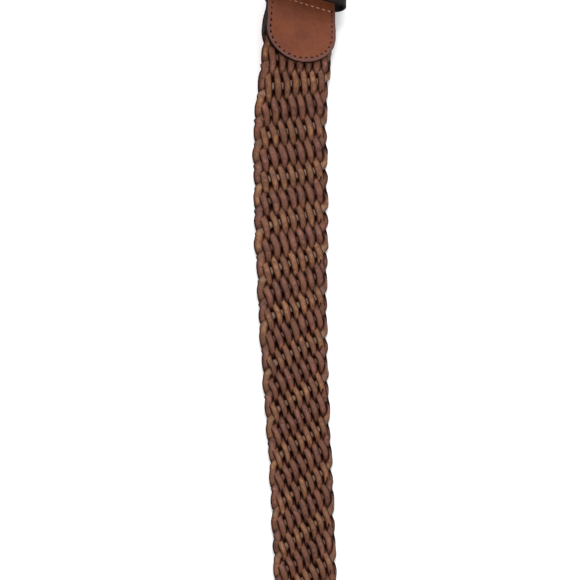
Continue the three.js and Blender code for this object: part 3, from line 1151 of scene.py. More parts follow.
        # section: a circle pulled to a squarish oval, in which each point notes its place
        feeds = {"Resolution": self.section_points, "Radius": 1.0}
        ring = add_node(tree, "GeometryNodeCurvePrimitiveCircle", feeds).outputs[0]
        at = add_node(tree, "GeometryNodeInputPosition").outputs[0]
        size = add_node(tree, "ShaderNodeVectorMath", {0: at}, operation="ABSOLUTE").outputs[0]
        sides = add_node(tree, "ShaderNodeSeparateXYZ", {0: size}).outputs
        power = entry["Roundness"]
        raised = [
            add_node(tree, "ShaderNodeMath", {0: sides[axis], 1: power}, operation="POWER").outputs[0]
            for axis in "XY"
        ]
        total = add_node(tree, "ShaderNodeMath", dict(enumerate(raised)), operation="ADD").outputs[0]
        inverse = add_node(tree, "ShaderNodeMath", {0: -1.0, 1: power}, operation="DIVIDE").outputs[0]
        swell = add_node(tree, "ShaderNodeMath", {0: total, 1: inverse}, operation="POWER").outputs[0]
        halves = {
            axis: add_node(tree, "ShaderNodeMath", {0: entry[name], 1: 0.5}, operation="MULTIPLY").outputs[0]
            for axis, name in (("X", "Thickness"), ("Y", "Width"))
        }
        shape = add_node(tree, "ShaderNodeCombineXYZ", halves).outputs[0]
        scaled = add_node(tree, "ShaderNodeVectorMath", {0: at, 1: shape}, operation="MULTIPLY").outputs[0]
        swollen = add_node(tree, "ShaderNodeVectorMath", {0: scaled, "Scale": swell}, operation="SCALE")
        feeds = {"Geometry": ring, "Position": swollen.outputs[0]}
        ring = add_node(tree, "GeometryNodeSetPosition", feeds).outputs[0]
        kept = add_node(tree, "GeometryNodeCaptureAttribute", {"Geometry": ring})
        kept.capture_items.new("VECTOR", "Spot")
        tree.links.new(add_node(tree, "GeometryNodeInputPosition").outputs[0], kept.inputs["Spot"])

        feeds = {"Curve": rail.outputs[0], "Profile Curve": kept.outputs["Geometry"], "Scale": girth}
        swept = add_node(tree, "GeometryNodeCurveToMesh", {**feeds, "Fill Caps": True}).outputs[0]
        feeds = {0: kept.outputs["Spot"], "Scale": 1 / MM}
        in_mm = add_node(tree, "ShaderNodeVectorMath", feeds, operation="SCALE").outputs[0]
        parts = add_node(tree, "ShaderNodeSeparateXYZ", {0: in_mm}).outputs
        own = add_node(tree, "ShaderNodeCombineXYZ", {"X": parts["Y"], "Y": run, "Z": parts["X"]}).outputs[0]
        noted = add_node(
            tree,
            "GeometryNodeStoreNamedAttribute",
            {"Geometry": swept, "Name": "lace", "Value": own},
            data_type="FLOAT_VECTOR",
            domain="POINT",
        )
        close_tree(tree, noted.outputs[0], entry["Finish"])
        return tree

    def build(self, finishes: dict[LaceColour, bpy.types.Material]) -> None:
        """Builds the laces of both dyes, one object for each.

        Args:
            finishes: Material of each dye.
        """
        tree = self.sweep_tree()
        shades = np.random.default_rng(self.seed).uniform(0, 1, self.laces)
        for colour, finish in finishes.items():
            numbers = range(colour.value, self.laces, 2)
            lines, marks = zip(*(self.lace(index) for index in numbers))
            mesh = line_mesh(lines)
            store(mesh, "tint", np.repeat(shades[list(numbers)], [mark.shape[1] for mark in marks]))
            for name, column in zip(("run", "depth", "crossing", "girth"), np.hstack(marks)):
                store(mesh, name, column)
            values = {
                "Width": CUTS[colour].width * MM,
                "Thickness": self.lace_thickness * MM,
                "Roundness": self.section_power,
                "Finish": finish,
            }
            thing = run_tree(f"{colour.name.lower()}_laces", mesh, tree, values)
            settle(thing, finish, ["braided_band"])


def oval_half(size: StrapSizes, from_tip: float, depth: float) -> float:
    """Half width of a rounded leather end at a distance from its tip."""
    q = min(max(1 - from_tip / depth, 0), 1)
    return max(size.half * math.sqrt(1 - q * q), 0.25)


def oval_steps(depth: float, count: int) -> Array:
    """Distances from a rounded tip, close together where the outline turns fast."""
    return depth * (1 - np.cos(np.linspace(0, np.pi / 2, count + 1)))


@dataclass
class LeatherPanel:
    """A flat-cut leather piece with rounded edges, bent to its place by a function."""

    name: str
    runs: Array
    half_at: Callable[[float], float]
    place: Callable[[Array, Array, Array], Array]
    thickness: float
    groove_from_rim: float = 2.2
    groove_half: float = 0.42
    groove_depth: float = 0.16
    edge_radius: float = 0.3
    paint: float = 0.34
    insets: tuple[float, ...] = (0, 0.06, 0.16, 0.26, 0.38, 0.9, 1.4, 1.8, 2.1, 2.3, 2.6, 3.2)
    inner_lines: int = 12
    outline_steps: int = 700
    outline_parts: int = 14
    painted_share: float = 0.6

    def _lines(self, half: float) -> Array:
        """Places across, close together near both edges.

        Args:
            half: Half width of the panel there.

        Returns:
            Distances from the middle, from left to right.
        """
        # where the panel is narrower than its edge lines, they close up but never meet
        near = np.array([min(d, half * 0.45) + 1e-4 * i for i, d in enumerate(self.insets)])
        near = np.minimum(near, half * 0.9)
        inner = np.linspace(-1, 1, self.inner_lines) * max(half - near[-1] - 0.4, half * 0.05)
        return np.concatenate([-half + near, inner, half - near[::-1]])

    def _rim(self, u: Array, run: Array) -> Array:
        """Distance of flat points to the panel's outline.

        Args:
            u: Places across.
            run: Places along.

        Returns:
            Distance of each point.
        """
        fine = np.linspace(self.runs[0], self.runs[-1], self.outline_steps)
        halves = np.array([self.half_at(r) for r in fine])
        outline = np.concatenate([np.stack([halves, fine], 1), np.stack([-halves, fine], 1)])
        best = np.full(u.shape, np.inf)
        for chunk in np.array_split(outline, self.outline_parts):
            gap = np.hypot(u[..., None] - chunk[:, 0], run[..., None] - chunk[:, 1])
            best = np.minimum(best, gap.min(-1))
        best[:, [0, -1]] = 0
        best[[0, -1], :] = 0
        return best

    def build(self) -> bpy.types.Object:
        """Builds the panel's closed mesh with rim and wall attributes.

        Returns:
            The object, not yet dressed.
        """
        u = np.stack([self._lines(self.half_at(r)) for r in self.runs])
        rows, cols = u.shape
        run = np.repeat(self.runs[:, None], cols, axis=1)
        rim = self._rim(u, run)
        inside = np.clip(1 - rim / self.edge_radius, 0, 1)
        height = self.thickness / 2 - self.edge_radius * (1 - np.sqrt(1 - inside**2))
        groove = self.groove_depth * np.exp(-(((rim - self.groove_from_rim) / self.groove_half) ** 2))
        top, bottom = self.place(u, run, height - groove), self.place(u, run, -height)
        count = rows * cols
        faces: list[tuple[int, ...]] = []
        for r in range(rows - 1):
            for c in range(cols - 1):
                a = r * cols + c
                quad = (a, a + 1, a + cols + 1, a + cols)
                faces += [quad, tuple(count + k for k in reversed(quad))]
            for a in (r * cols, r * cols + cols - 1):
                faces.append((a, a + cols, count + a + cols, count + a))
        for start in (0, (rows - 1) * cols):
            faces += [(a, a + 1, count + a + 1, count + a) for a in range(start, start + cols - 1)]
        thing = make_object(self.name, np.concatenate([top.reshape(-1, 3), bottom.reshape(-1, 3)]), faces)
        store(thing.data, "rim_mm", np.tile(rim.ravel(), 2))
        wall = smooth_step(-rim, -self.paint, -self.paint * self.painted_share)
        store(thing.data, "wall", np.tile(wall.ravel(), 2))
        outward(thing)
        return thing


@dataclass
class StitchRow:
    """Saddle stitches in a line: thread from hole to hole, and a dark bead of painted shade in the hole
    between two stitches.
    """

    thread: bpy.types.Material
    hole: bpy.types.Material
    pitch: float = 2.95
    thread_share: float = 0.44
    thread_radius: float = 0.32
    thread_flat: float = 0.7
    thread_sink: float = 0.12
    hole_radius: float = 0.98
    hole_flat: float = 0.74
    hole_height: float = 0.13
    hole_sink: float = 0.15
    segments: int = 8
    rings: int = 6

    def tree(self) -> bpy.types.NodeTree:
        """Geometry Nodes that set one bead on each step of a line.

        Returns:
            The node tree, with inputs Pitch, Shift, Size and Finish.
        """
        inputs = {"Pitch": "Float", "Shift": "Float", "Size": "Vector", "Finish": "Material"}
        tree, entry = new_tree("stitch_line", inputs)
        line = add_node(tree, "GeometryNodeMeshToCurve", {"Mesh": entry["Geometry"]}).outputs[0]
        length = add_node(tree, "GeometryNodeCurveLength", {"Curve": line}).outputs[0]
        feeds = {"Curve": line, 4: entry["Shift"], 5: length}
        line = add_node(tree, "GeometryNodeTrimCurve", feeds, mode="LENGTH").outputs[0]
        feeds = {"Curve": line, "Length": entry["Pitch"]}
        steps = add_node(tree, "GeometryNodeResampleCurve", feeds, mode="LENGTH").outputs[0]
        feeds = {"Segments": self.segments, "Rings": self.rings, "Radius": 1.0}
        bead = add_node(tree, "GeometryNodeMeshUVSphere", feeds).outputs[0]
        feeds = {"Geometry": bead, "Scale": entry["Size"]}
        bead = add_node(tree, "GeometryNodeTransform", feeds).outputs[0]
        heading = add_node(tree, "GeometryNodeInputTangent").outputs[0]
        feeds, kind = {"Name": "face"}, "GeometryNodeInputNamedAttribute"
        facing = add_node(tree, kind, feeds, data_type="FLOAT_VECTOR").outputs[0]
        kind = "FunctionNodeAlignRotationToVector"
        turn = add_node(tree, kind, {"Vector": facing}, axis="Z").outputs[0]
        feeds = {"Rotation": turn, "Vector": heading}
        turn = add_node(tree, kind, feeds, axis="X", pivot_axis="Z").outputs[0]
        feeds = {"Points": steps, "Instance": bead, "Rotation": turn}
        copies = add_node(tree, "GeometryNodeInstanceOnPoints", feeds).outputs[0]
        close_tree(tree, copies, entry["Finish"])
        return tree

    def build(self, name: str, lines: Sequence[Line]) -> None:
        """Builds the thread and the holes along some lines.

        Args:
            name: First part of the pieces' names.
            lines: Points in metres and face directions of each line.
        """
        tree = self.tree()
        long, wide = self.pitch * self.thread_share / 2, self.thread_radius
        stitch = (long, wide, wide * self.thread_flat)
        hole = (self.hole_radius, self.hole_radius * self.hole_flat, self.hole_height)
        for kind, material, shift, shape, sink in (
            ("thread", self.thread, self.pitch / 2, stitch, self.thread_sink),
            # the holes are dark beads of painted shade
            ("holes", self.hole, 0.0, hole, self.hole_sink),
        ):
            mesh = line_mesh([(centre - face * (sink * MM), face) for centre, face in lines])
            values = {
                "Pitch": self.pitch * MM,
                "Shift": shift * MM,
                "Size": tuple(s * MM for s in shape),
                "Finish": material,
            }
            settle(run_tree(f"{name}_{kind}", mesh, tree, values), material)


class FoldSeam(Enum):
    """The fold's two seams: round its end, and across it below the keeper."""

    OUTLINE = "fold_stitch"
    CLOSING = "seam_stitch"


@dataclass
class BuckleFold:
    """Leather folded round the buckle bar, with a round stitched end on the braid."""

    sizes: StrapSizes
    course: StrapCourse
    margin: float = 2.2
    wax: float = 0.2
    seam_above: float = 2.6
    seam_slope: float = 0.035
    # the front leaf is cut wider on its left, and its round end stops short of the back leaf's
    left_spread: float = 1.0
    front_from: float = 1.8
    # where the painted core starts and ends, and how far it reaches into the leather
    core_from: float = 13.5
    core_past_keeper: float = 1.0
    core_overlap: float = 0.05
    core_inset: float = 0.1
    straight_steps: int = 120
    turn_steps: int = 40
    end_rows: int = 16
    middle_rows: int = 90
    core_rows: int = 26

    def _levels(self) -> dict[Side, Stops]:
        """Heights of the leather's middle along the fold.

        Returns:
            Distance from the round end and height of each stop, for each side.
        """
        size = self.sizes
        tuck_end = size.braid_tuck + size.clearance
        settled = size.seam - size.leather
        closed = size.front_level - (size.leather + size.clearance)
        under_keeper = size.front_level - 2 * size.keeper_step
        back = [
            (tuck_end, -size.layer_level),
            (settled, closed),
            (size.seam, closed),
            (size.keeper_low - size.clearance, under_keeper),
            (size.keeper_low + size.keeper_band, under_keeper),
            (size.bar, size.bar_level - size.fold_radius),
        ]
        return {Side.FRONT: [(tuck_end, size.layer_level), (settled, size.front_level)], Side.BACK: back}

    def _path(self) -> tuple[Array, Array]:
        """Side view of the leather's middle: distance and height along the fold.

        Returns:
            Distance towards the buckle and height, for fine steps along the leather.
        """
        size, levels = self.sizes, self._levels()
        ahead = np.linspace(self.front_from, size.bar, self.straight_steps)
        behind = np.linspace(0.0, size.bar, self.straight_steps)[::-1]
        angle = np.linspace(np.pi / 2, -np.pi / 2, self.turn_steps)[1:-1]
        turn_at = size.bar + size.fold_radius * np.cos(angle)
        turn_n = size.bar_level + size.fold_radius * np.sin(angle)
        front, back = level_at(levels[Side.FRONT], ahead), level_at(levels[Side.BACK], behind)
        return np.concatenate([ahead, turn_at, behind]), np.concatenate([front, turn_n, back])

    def panel(self) -> bpy.types.Object:
        """Builds the folded leather with its slot for the prong.

        Returns:
            The object, not yet dressed.
        """
        size = self.sizes
        at, n = self._path()
        run = travelled(np.stack([at, n], axis=1))
        total = run[-1]
        d_at, d_n = np.gradient(at, run), np.gradient(n, run)

        def place(u: Array, along: Array, out: Array) -> Array:
            """Bends flat leather round the bar.

            Args:
                u: Places across.
                along: Places along the leather.
                out: Heights over the leather's middle.

            Returns:
                Points in metres.
            """
            tilt_at, tilt_n = np.interp(along, run, d_n), np.interp(along, run, d_at)
            middle = np.interp(along, run, at)
            spread = smooth_step(middle, size.tab_round, size.seam) * (along < total / 2) * (u < 0)
            u = u * (1 + self.left_spread / size.half * spread)
            return self.course.place(u, tilt_at * out - middle, np.interp(along, run, n) + tilt_n * out)

        ends = oval_steps(size.tab_round, self.end_rows)
        middle = np.linspace(size.tab_round, total - size.tab_round, self.middle_rows)[1:-1]
        thing = LeatherPanel(
            "buckle_fold_leather",
            np.concatenate([ends, middle, (total - ends)[::-1]]),
            lambda r: oval_half(size, min(r, total - r), size.tab_round),
            place,
            size.leather + self.wax,
        ).build()
        self._cut_slot(thing)
        return thing

    def _cut_slot(self, thing: bpy.types.Object) -> None:
        """Cuts the prong's slot through the fold.

        Args:
            thing: The folded leather.
        """
        size = self.sizes
        reach = size.slot_reach + size.fold_radius + size.leather
        depth = 2 * (size.fold_radius + size.leather)
        half = size.prong_radius + size.slot_margin
        bpy.ops.mesh.primitive_cube_add(size=1)
        tool = bpy.context.object
        matrix = buckle_matrix(size, self.course)
        for vert in tool.data.vertices:
            x, y, z = vert.co
            corner = Vector((x * 2 * half, y * reach + reach / 2 - size.slot_reach, z * depth))
            vert.co = matrix @ (corner * MM)
        cut = thing.modifiers.new("slot", "BOOLEAN")
        cut.operation = "DIFFERENCE"
        cut.object = tool
        shown = thing.evaluated_get(bpy.context.evaluated_depsgraph_get())
        result = bpy.data.meshes.new_from_object(shown)
        thing.modifiers.clear()
        thing.data = result
        bpy.data.objects.remove(tool)

    def painted_core(self) -> bpy.types.Object:
        """Builds the glued and painted edge that closes the fold's sides past the braid.

        Returns:
            The object, not yet dressed.
        """
        size, levels = self.sizes, self._levels()
        inset = size.leather / 2 - self.core_overlap

        def place(u: Array, along: Array, out: Array) -> Array:
            """Spreads the core's two faces onto the leather's inner faces.

            Args:
                u: Places across.
                along: Places along the fold.
                out: Share from the middle towards one face or the other.

            Returns:
                Points in metres.
            """
            top = level_at(levels[Side.FRONT], along) - inset
            bottom = level_at(levels[Side.BACK], along) + inset
            return self.course.place(u, -along, (top + bottom) / 2 + (top - bottom) / 2 * out)

        return LeatherPanel(
            "fold_edge_paint",
            np.linspace(self.core_from, size.keeper_low + self.core_past_keeper, self.core_rows),
            lambda r: oval_half(size, r, size.tab_round) - self.core_inset,
            place,
            thickness=2.0,
            edge_radius=0.05,
            groove_depth=0.0,
        ).build()

    def seam_lines(self, seam: FoldSeam) -> list[Line]:
        """Stitch lines on the front and the back.

        Args:
            seam: Which of the two seams.

        Returns:
            Points in metres and face directions of each line.
        """
        size = self.sizes
        lane = size.half - self.margin
        if seam is FoldSeam.CLOSING:
            u = np.linspace(lane, -lane, 40)
            at = size.seam + self.seam_above + (lane - u) * self.seam_slope
        else:
            angle = np.linspace(np.pi, 2 * np.pi, 80)
            round_at = size.tab_round + (size.tab_round - self.margin) * np.sin(angle)
            straight = np.linspace(size.seam, size.tab_round, 30)[:-1]
            beside = np.full(len(straight), lane)
            u = np.concatenate([-beside, lane * np.cos(angle), beside])
            at = np.concatenate([straight, round_at, straight[::-1]])
        lines = []
        for side, first in ((Side.FRONT, self.front_from), (Side.BACK, 0.0)):
            run = at if seam is FoldSeam.CLOSING else first + at * (1 - first / size.seam)
            level = level_at(self._levels()[side], run) + side.value * (size.leather + self.wax) / 2
            lines.append(self.course.face_line(u, -run, level, side))
        return lines


def buckle_matrix(sizes: StrapSizes, course: StrapCourse) -> Matrix:
    """Frame of the buckle: bar along X at the origin, frame towards +Y, front towards +Z.

    Args:
        sizes: Belt sizes.
        course: How the strap lies.

    Returns:
        The matrix, in metres.
    """
    at = np.array(-sizes.bar)
    columns = [course.read(rows, at) for rows in (course.across, course.along, course.out)]
    matrix = Matrix([[float(columns[c][r]) for c in range(3)] for r in range(3)]).to_4x4()
    matrix.translation = Vector(course.place(0.0, -sizes.bar, sizes.bar_level))
    return matrix


@dataclass
class KeeperLoop:
    """Dark leather loop over the fold, slid to the right, for the belt's loose end."""

    sizes: StrapSizes
    course: StrapCourse
    band_lines: int = 14
    edge_radius: float = 0.45
    # how far it is slid to the right and towards the buckle, and how far its front stands off
    slide: float = 0.4
    up: float = 1.2
    rise: float = 3.2
    right_corner: float = 5.4
    step: float = 2.0
    corner_spare: float = 0.05
    painted_share: float = 0.6

    def _section(self) -> Array:
        """Section of the leather band, with rounded edges.

        Returns:
            Inset from the outer face and place along the band's width, in rows.
        """
        edge, thick, band = self.edge_radius, self.sizes.keeper_thickness, self.sizes.keeper_band
        turn = [(edge * (1 - math.cos(a)), edge * math.sin(a)) for a in np.linspace(0, np.pi / 2, 5)[1:]]
        upper = [(inset, band - edge + rise) for inset, rise in turn]
        lower = [(inset, edge - rise) for inset, rise in turn]
        flat = np.linspace(edge, band - edge, self.band_lines)
        ring = [(0.0, t) for t in flat] + upper + [(thick - inset, t) for inset, t in upper[:0:-1]]
        ring += [(thick, t) for t in flat[::-1]] + [(thick - inset, t) for inset, t in lower]
        return np.array(ring + lower[-2::-1])

    def build(self) -> bpy.types.Object:
        """Builds the loop as one closed ring with rounded edges.

        Returns:
            The object, not yet dressed.
        """
        size = self.sizes
        thick = size.keeper_thickness
        low = size.front_level - size.keeper_step - thick / 2
        high = size.front_level + size.leather / 2 + size.keeper_height + thick + self.rise
        outer = size.half + size.keeper_slack + thick
        loop, normals = self._outline(outer, low, high)
        loop[:, 0] += self.slide * smooth_step(loop[:, 0], -outer, outer)
        inset, along = self._section().T
        u = loop[:, :1] - normals[:, :1] * inset
        n = loop[:, 1:] - normals[:, 1:] * inset
        at = np.broadcast_to(-(size.keeper_low + self.up + along), u.shape)
        verts = self.course.place(u, at, n).reshape(-1, 3)
        thing = make_object("keeper_leather_loop", verts, ring_faces(len(loop), len(inset), closed=True))
        rim = np.tile(np.maximum(np.minimum(along, size.keeper_band - along), 0), len(loop))
        store(thing.data, "rim_mm", rim)
        store(thing.data, "wall", smooth_step(-rim, -self.edge_radius * self.painted_share, -0.02))
        outward(thing)
        return thing

    def _outline(self, half: float, low: float, high: float) -> tuple[Array, Array]:
        """Rounded rectangle round the fold, with its outward directions.

        Args:
            half: Half its width.
            low: Lowest height.
            high: Highest height.

        Returns:
            Points and outward directions, one row each.
        """
        most = (high - low) / 2 - self.corner_spare
        right, left = min(self.right_corner, most), min(self.sizes.keeper_corner, most)
        corners = (
            (half - right, low + right, -np.pi / 2, right),
            (half - right, high - right, 0.0, right),
            (-half + left, high - left, np.pi / 2, left),
            (-half + left, low + left, np.pi, left),
        )
        points, normals = [], []
        for cx, cy, start, radius in corners:
            for angle in np.linspace(start, start + np.pi / 2, 9):
                normals.append((math.cos(angle), math.sin(angle)))
                points.append((cx + radius * math.cos(angle), cy + radius * math.sin(angle)))
        filled, looks = [], []
        for k, (point, normal) in enumerate(zip(points, normals)):
            after = points[(k + 1) % len(points)]
            steps = max(1, int(math.dist(point, after) / self.step))
            filled += [[a + (b - a) * s / steps for a, b in zip(point, after)] for s in range(steps)]
            looks += [normal] * steps
        return np.array(filled), np.array(looks)


@dataclass
class PinBuckle:
    """Plain cast buckle: rounded frame, bar and prong in one piece."""

    sizes: StrapSizes
    course: StrapCourse
    section_points: int = 20
    # 1 gives an elliptical section, less a squarer one
    frame_power: float = 0.62
    prong_power: float = 0.8
    prong_taper: float = 0.28
    prong_flat: float = 0.9
    prong_rest: float = 0.8
    prong_end: float = 0.05
    prong_least: float = 0.02
    # shares of the frame wire's half width by which its two ends turn down and thin out
    nose_from: float = 0.2
    nose_blunt: float = 0.12
    nose_power: float = 0.6

    def _sweep(self, path: Array, widths: Array, heights: Array, power: float) -> tuple[Array, list]:
        """Sweeps a squarish oval section along a path in the buckle's plane.

        Args:
            path: Points of the path, in millimetres.
            widths: Half width of the section at each point.
            heights: Half height at each point.
            power: 1 for an ellipse, less for a squarer section.

        Returns:
            Points and faces, with both ends closed.
        """
        tangent = unit(np.gradient(path, axis=0))
        side = unit(np.cross(tangent, np.array([0.0, 0.0, 1.0])))
        lift = np.cross(side, tangent)
        angle = np.linspace(0, 2 * np.pi, self.section_points, endpoint=False)
        x, y = (np.sign(wave) * np.abs(wave) ** power for wave in (np.cos(angle), np.sin(angle)))
        rings = (
            path[:, None]
            + side[:, None] * (x[None, :, None] * widths[:, None, None])
            + lift[:, None] * (y[None, :, None] * heights[:, None, None])
        )
        return rings.reshape(-1, 3), ring_faces(len(path), self.section_points, closed=False)

    def _frame(self) -> tuple[Array, list]:
        """Frame with two rounded far corners, whose legs end in a blunt nose round the bar.

        Returns:
            Points and faces.
        """
        size = self.sizes
        wire = size.buckle_wire / 2
        half = size.half + size.buckle_slack + wire
        far, radius = size.buckle_length - wire, size.buckle_corner - wire
        turn = np.linspace(np.pi, np.pi / 2, 14)
        corner = np.stack([-half + radius + radius * np.cos(turn), far - radius + radius * np.sin(turn)], 1)
        up = np.linspace(0, far - radius, 12)[:-1]
        leg = np.stack([np.full(len(up), -half), up], 1)
        over = np.linspace(corner[-1, 0], -corner[-1, 0], 16)[1:-1]
        front = np.stack([over, np.full(len(over), far)], 1)
        mirror = (-1, 1)
        flat = np.concatenate([leg, corner, front, corner[::-1] * mirror, leg[::-1] * mirror])
        quarter = np.linspace(0, np.pi / 2, 8)[1:]
        below = -wire * (self.nose_from + (1 - self.nose_from) * np.sin(quarter))
        nose = np.stack([np.full(len(quarter), half), below], 1)
        flat = np.concatenate([nose[::-1] * mirror, flat, nose])
        shrink = np.maximum(np.cos(quarter), self.nose_blunt) ** self.nose_power
        scale = np.concatenate([shrink[::-1], np.ones(len(flat) - 2 * len(shrink)), shrink])
        path = np.column_stack([flat, np.zeros(len(flat))])
        return self._sweep(path, wire * scale, size.buckle_thickness / 2 * scale, self.frame_power)

    def _rod(self, x: Array, radii: Array) -> tuple[Array, list]:
        """Round rod along the bar's line."""
        return self._sweep(np.column_stack([x, np.zeros((len(x), 2))]), radii, radii, 1.0)

    def build(self) -> bpy.types.Object:
        """Builds the buckle in its place.

        Returns:
            The object, not yet dressed.
        """
        size = self.sizes
        half = size.half + size.buckle_slack + size.buckle_wire / 2
        bar_x = np.linspace(-half, half, 24)
        collar_x = size.prong_radius * np.array([-1.0, -0.96, -0.8, -0.4, 0.4, 0.8, 0.96, 1.0])
        round_off = np.array([0.86, 0.94, 0.99, 1.0, 1.0, 0.99, 0.94, 0.86])
        collar_r = (size.bar_radius + size.prong_collar) * round_off
        reach = size.buckle_length + size.prong_overhang + size.prong_radius
        rest = size.buckle_thickness / 2 + size.prong_radius * self.prong_rest
        q = np.linspace(0, 1, 30)
        round_end = np.sqrt(np.clip((1 - q) / self.prong_end, self.prong_least, 1))
        taper = size.prong_radius * (1 - self.prong_taper * q) * round_end
        prong = np.column_stack([np.zeros(len(q)), q * reach, q * rest])
        parts = (
            self._frame(),
            self._rod(bar_x, np.full(len(bar_x), size.bar_radius)),
            self._rod(collar_x, collar_r),
            self._sweep(prong, taper, taper * self.prong_flat, self.prong_power),
        )
        matrix = buckle_matrix(size, self.course)
        verts, faces = [], []
        for points, loops in parts:
            start = len(verts)
            verts += [tuple(matrix @ (Vector(p) * MM)) for p in points]
            faces += [tuple(start + k for k in loop) for loop in loops]
        thing = make_object("pin_buckle_metal", np.array(verts), faces)
        outward(thing)
        return thing


@dataclass
class LeatherTip:
    """Pointed leather tip: flat back layer, front layer that steps down past the braid's end."""

    sizes: StrapSizes
    course: StrapCourse
    margin: float = 2.2
    # the seam's two ends together keep this many margins from the leather's ends
    end_margins: float = 2.6
    end_rows: int = 16
    middle_rows: int = 60
    point_rows: int = 24
    seam_steps: int = 260

    def _half(self, at: float) -> float:
        """Half width of the tip at a distance from its round end.

        Args:
            at: The distance, in millimetres.

        Returns:
            The half width.
        """
        size = self.sizes
        q = min(max(1 - (size.tip_length - at) / size.tip_point, 0), 1)
        point = size.half * (1 - q ** (1 / (1 - size.tip_blunt * 0.5))) ** size.tip_blunt
        return min(oval_half(size, at, size.tip_round), max(point, 0.3))

    def _levels(self) -> dict[Side, Stops]:
        """Heights of the two layers' middles.

        Returns:
            Distance from the round end and height of each stop, for each side.
        """
        size = self.sizes
        end = size.braid_tuck + size.clearance
        settled = end + 3 * size.leather
        high = size.stack_half - size.leather / 2
        low = -size.stack_half + 1.5 * size.leather
        return {Side.FRONT: [(end, high), (settled, low)], Side.BACK: [(end, -high), (settled, -high)]}

    def build(self, side: Side) -> bpy.types.Object:
        """Builds one of the two layers.

        Args:
            side: Side of the braid that it covers.

        Returns:
            The object, not yet dressed.
        """
        size, stops, sign = self.sizes, self._levels()[side], side.value

        def place(u: Array, along: Array, out: Array) -> Array:
            """Lays a flat layer on its level."""
            return self.course.place(u * sign, size.braid_length + along, level_at(stops, along) + out * sign)

        middle = np.linspace(size.tip_round, size.tip_length - size.tip_point, self.middle_rows)[1:-1]
        point = size.tip_length - oval_steps(size.tip_point, self.point_rows)[::-1]
        runs = np.concatenate([oval_steps(size.tip_round, self.end_rows), middle, point])
        return LeatherPanel(f"tip_{side.name.lower()}_leather", runs, self._half, place, size.leather).build()

    def seam_lines(self) -> list[Line]:
        """Stitch lines along the outline of the front and the back.

        Returns:
            Points in metres and face directions of each line.
        """
        size = self.sizes
        share = np.linspace(0, 1, self.seam_steps)
        at = self.margin + share * (size.tip_length - self.end_margins * self.margin)
        right = np.array([self._inset(a) for a in at])
        u, down = np.concatenate([-right, right[::-1], -right[:1]]), np.concatenate([at, at[::-1], at[:1]])
        lines = []
        for side, stops in self._levels().items():
            level = level_at(stops, down) + side.value * size.leather / 2
            lines.append(self.course.face_line(u, size.braid_length + down, level, side))
        return lines

    def _inset(self, at: float) -> float:
        """Half width of the stitch line, which keeps its margin from the outline.

        Args:
            at: Distance from the round end, in millimetres.

        Returns:
            The half width.
        """
        fine = np.linspace(0, self.sizes.tip_length, 400)
        halves = np.array([self._half(f) for f in fine])
        u = np.linspace(0, self.sizes.half, 120)
        gap = np.hypot(u[:, None] - halves, at - fine).min(axis=1)
        inside = (u < self._half(at)) & (gap >= self.margin)
        return float(u[inside].max()) if inside.any() else 0.0


@dataclass(frozen=True)
class SoftLight:
    """Square area light: place from the aim in metres, side in metres, power in watts."""

    name: str
    offset: tuple[float, float, float]
    size: float
    power: float

    def build(self, target: Vector) -> None:
        """Adds the light, turned to its aim.

        Args:
            target: The point that it looks at, in metres.
        """
        data = bpy.data.lights.new(self.name, "AREA")
        data.shape = "SQUARE"
        data.size = self.size
        data.energy = self.power
        lamp = bpy.data.objects.new(self.name, data)
        lamp.location = target + Vector(self.offset)
        lamp.rotation_euler = (target - lamp.location).to_track_quat("-Z", "Y").to_euler()
        bpy.context.collection.objects.link(lamp)


@dataclass
class Studio:
    """Plain paper floor, soft lights and the camera at the photograph's angle."""

    course: StrapCourse
    floor_m: float = 30.0
    elevation_deg: float = 60.0
    frame_mm: float = 281.6
    lens_mm: float = 480.0
    sensor_mm: float = 36.0
    aim_down: float = 122.0
    lights: tuple[SoftLight, ...] = (
        SoftLight("overhead", (-0.05, 1.0, 1.4), 1.3, 21.0),
        SoftLight("side", (0.9, -0.9, 1.2), 0.8, 4.0),
    )

    def build(self, paper: bpy.types.Material) -> None:
        """Builds the floor, an even white surround, the lights and the camera.

        Args:
            paper: Floor material.
        """
        bpy.ops.mesh.primitive_plane_add(size=self.floor_m)
        floor = bpy.context.object
        floor.name = "floor"
        floor.data.materials.append(paper)
        world = bpy.data.worlds.new("surround")
        bpy.context.scene.world = world
        world.use_nodes = True
        surround = world.node_tree.nodes["Background"].inputs
        surround["Color"].default_value = (1, 1, 1, 1)
        surround["Strength"].default_value = 1.0
        bpy.context.scene.view_settings.view_transform = "Standard"
        for light in self.lights:
            light.build(Vector(self.course.place(0.0, self.aim_down, 0.0)))
        self._camera()

    def _camera(self) -> None:
        """Adds the camera, with a long lens that keeps the strap's sides parallel."""
        target = Vector(self.course.offset) - Vector((0.0, self.aim_down * MM, 0.0))
        rise = math.radians(self.elevation_deg)
        back = Vector((0, -math.cos(rise), math.sin(rise)))
        distance = self.frame_mm * MM * self.lens_mm / self.sensor_mm
        data = bpy.data.cameras.new("view")
        data.lens = self.lens_mm
        data.sensor_width = self.sensor_mm
        data.clip_end = distance * 4
        camera = bpy.data.objects.new("view", data)
        camera.location = target + back * distance
        camera.rotation_euler = (-back).to_track_quat("-Z", "Y").to_euler()
        bpy.context.collection.objects.link(camera)
        bpy.context.scene.camera = camera


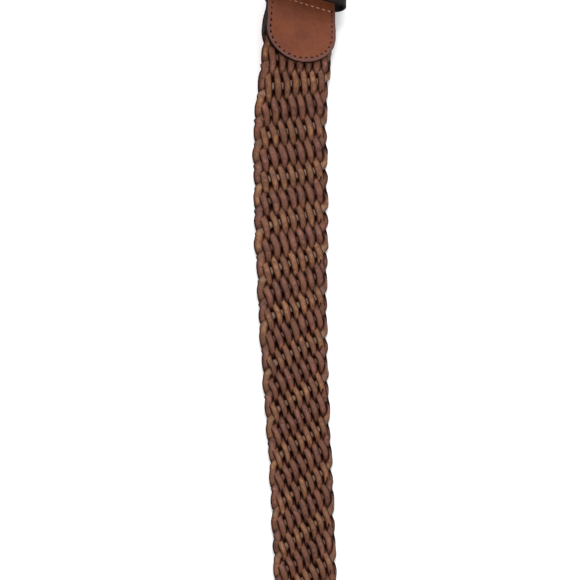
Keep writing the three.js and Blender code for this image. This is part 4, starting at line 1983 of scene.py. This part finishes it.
def main() -> None:
    """Builds the belt's pieces in order and dresses them."""
    logging.basicConfig(level=logging.INFO, format="%(name)s %(message)s")
    bpy.ops.object.select_all(action="SELECT")
    bpy.ops.object.delete()
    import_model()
    sizes = StrapSizes()
    course = StrapCourse(sizes)
    course.anchor()
    Studio(course).build(MattPaper().build())

    tan = LaceLeather(
        "tan_cut_lace",
        face="5a321d",
        worn="855e3e",
        aged="573527",
        edge="230c05",
        # painted highlight on the crossings
        crossing_highlight="817060",
        # painted shade in the recesses
        painted_recess_shade="1a0602",
        half_mm=CUTS[LaceColour.TAN].width / 2,
    )
    brown = LaceLeather(
        "brown_cut_lace",
        face="46231a",
        worn="784d3c",
        aged="5f3927",
        edge="1e0a05",
        # painted highlight on the crossings
        crossing_highlight="3f2b22",
        # painted shade in the recesses
        painted_recess_shade="180502",
        half_mm=CUTS[LaceColour.BROWN].width / 2,
    )
    Plait(sizes, course).build({LaceColour.TAN: tan.build(), LaceColour.BROWN: brown.build()})

    hide = WaxedLeather().build()
    thread = WaxedThread().build()
    # dark beads of painted shade in the stitch holes
    hole = HOLE_SHADE.build()
    fold = BuckleFold(sizes, course)
    settle(fold.panel(), hide, ["buckle_tab"])
    StitchRow(thread, hole).build(FoldSeam.OUTLINE.value, fold.seam_lines(FoldSeam.OUTLINE))
    # the closing seam's thread is a paler copy of the thread: painted highlight on its raised stitches
    pale = WaxedThread("waxed_thread_painted_highlight", lit="b98f7c", deep="7a4e3c").build()
    closing = StitchRow(pale, hole, thread_radius=0.42, thread_share=0.7)
    closing.build(FoldSeam.CLOSING.value, fold.seam_lines(FoldSeam.CLOSING))
    settle(fold.painted_core(), EDGE_PAINT.build(), ["buckle_tab"])

    dark = WaxedLeather(
        "dark_edge_painted_leather",
        face="1b0f0f",
        shade="140b0c",
        margin="180f10",
        edge="080405",
        specular=0.1,
    ).build()
    settle(KeeperLoop(sizes, course).build(), dark, ["keeper_loop"])
    settle(PinBuckle(sizes, course).build(), SatinNickel().build(), ["buckle"])

    tip = LeatherTip(sizes, course)
    for side in Side:
        settle(tip.build(side), hide, ["tip_tab"])
    StitchRow(thread, hole).build("tip_stitch", tip.seam_lines())


if __name__ == "__main__":
    main()
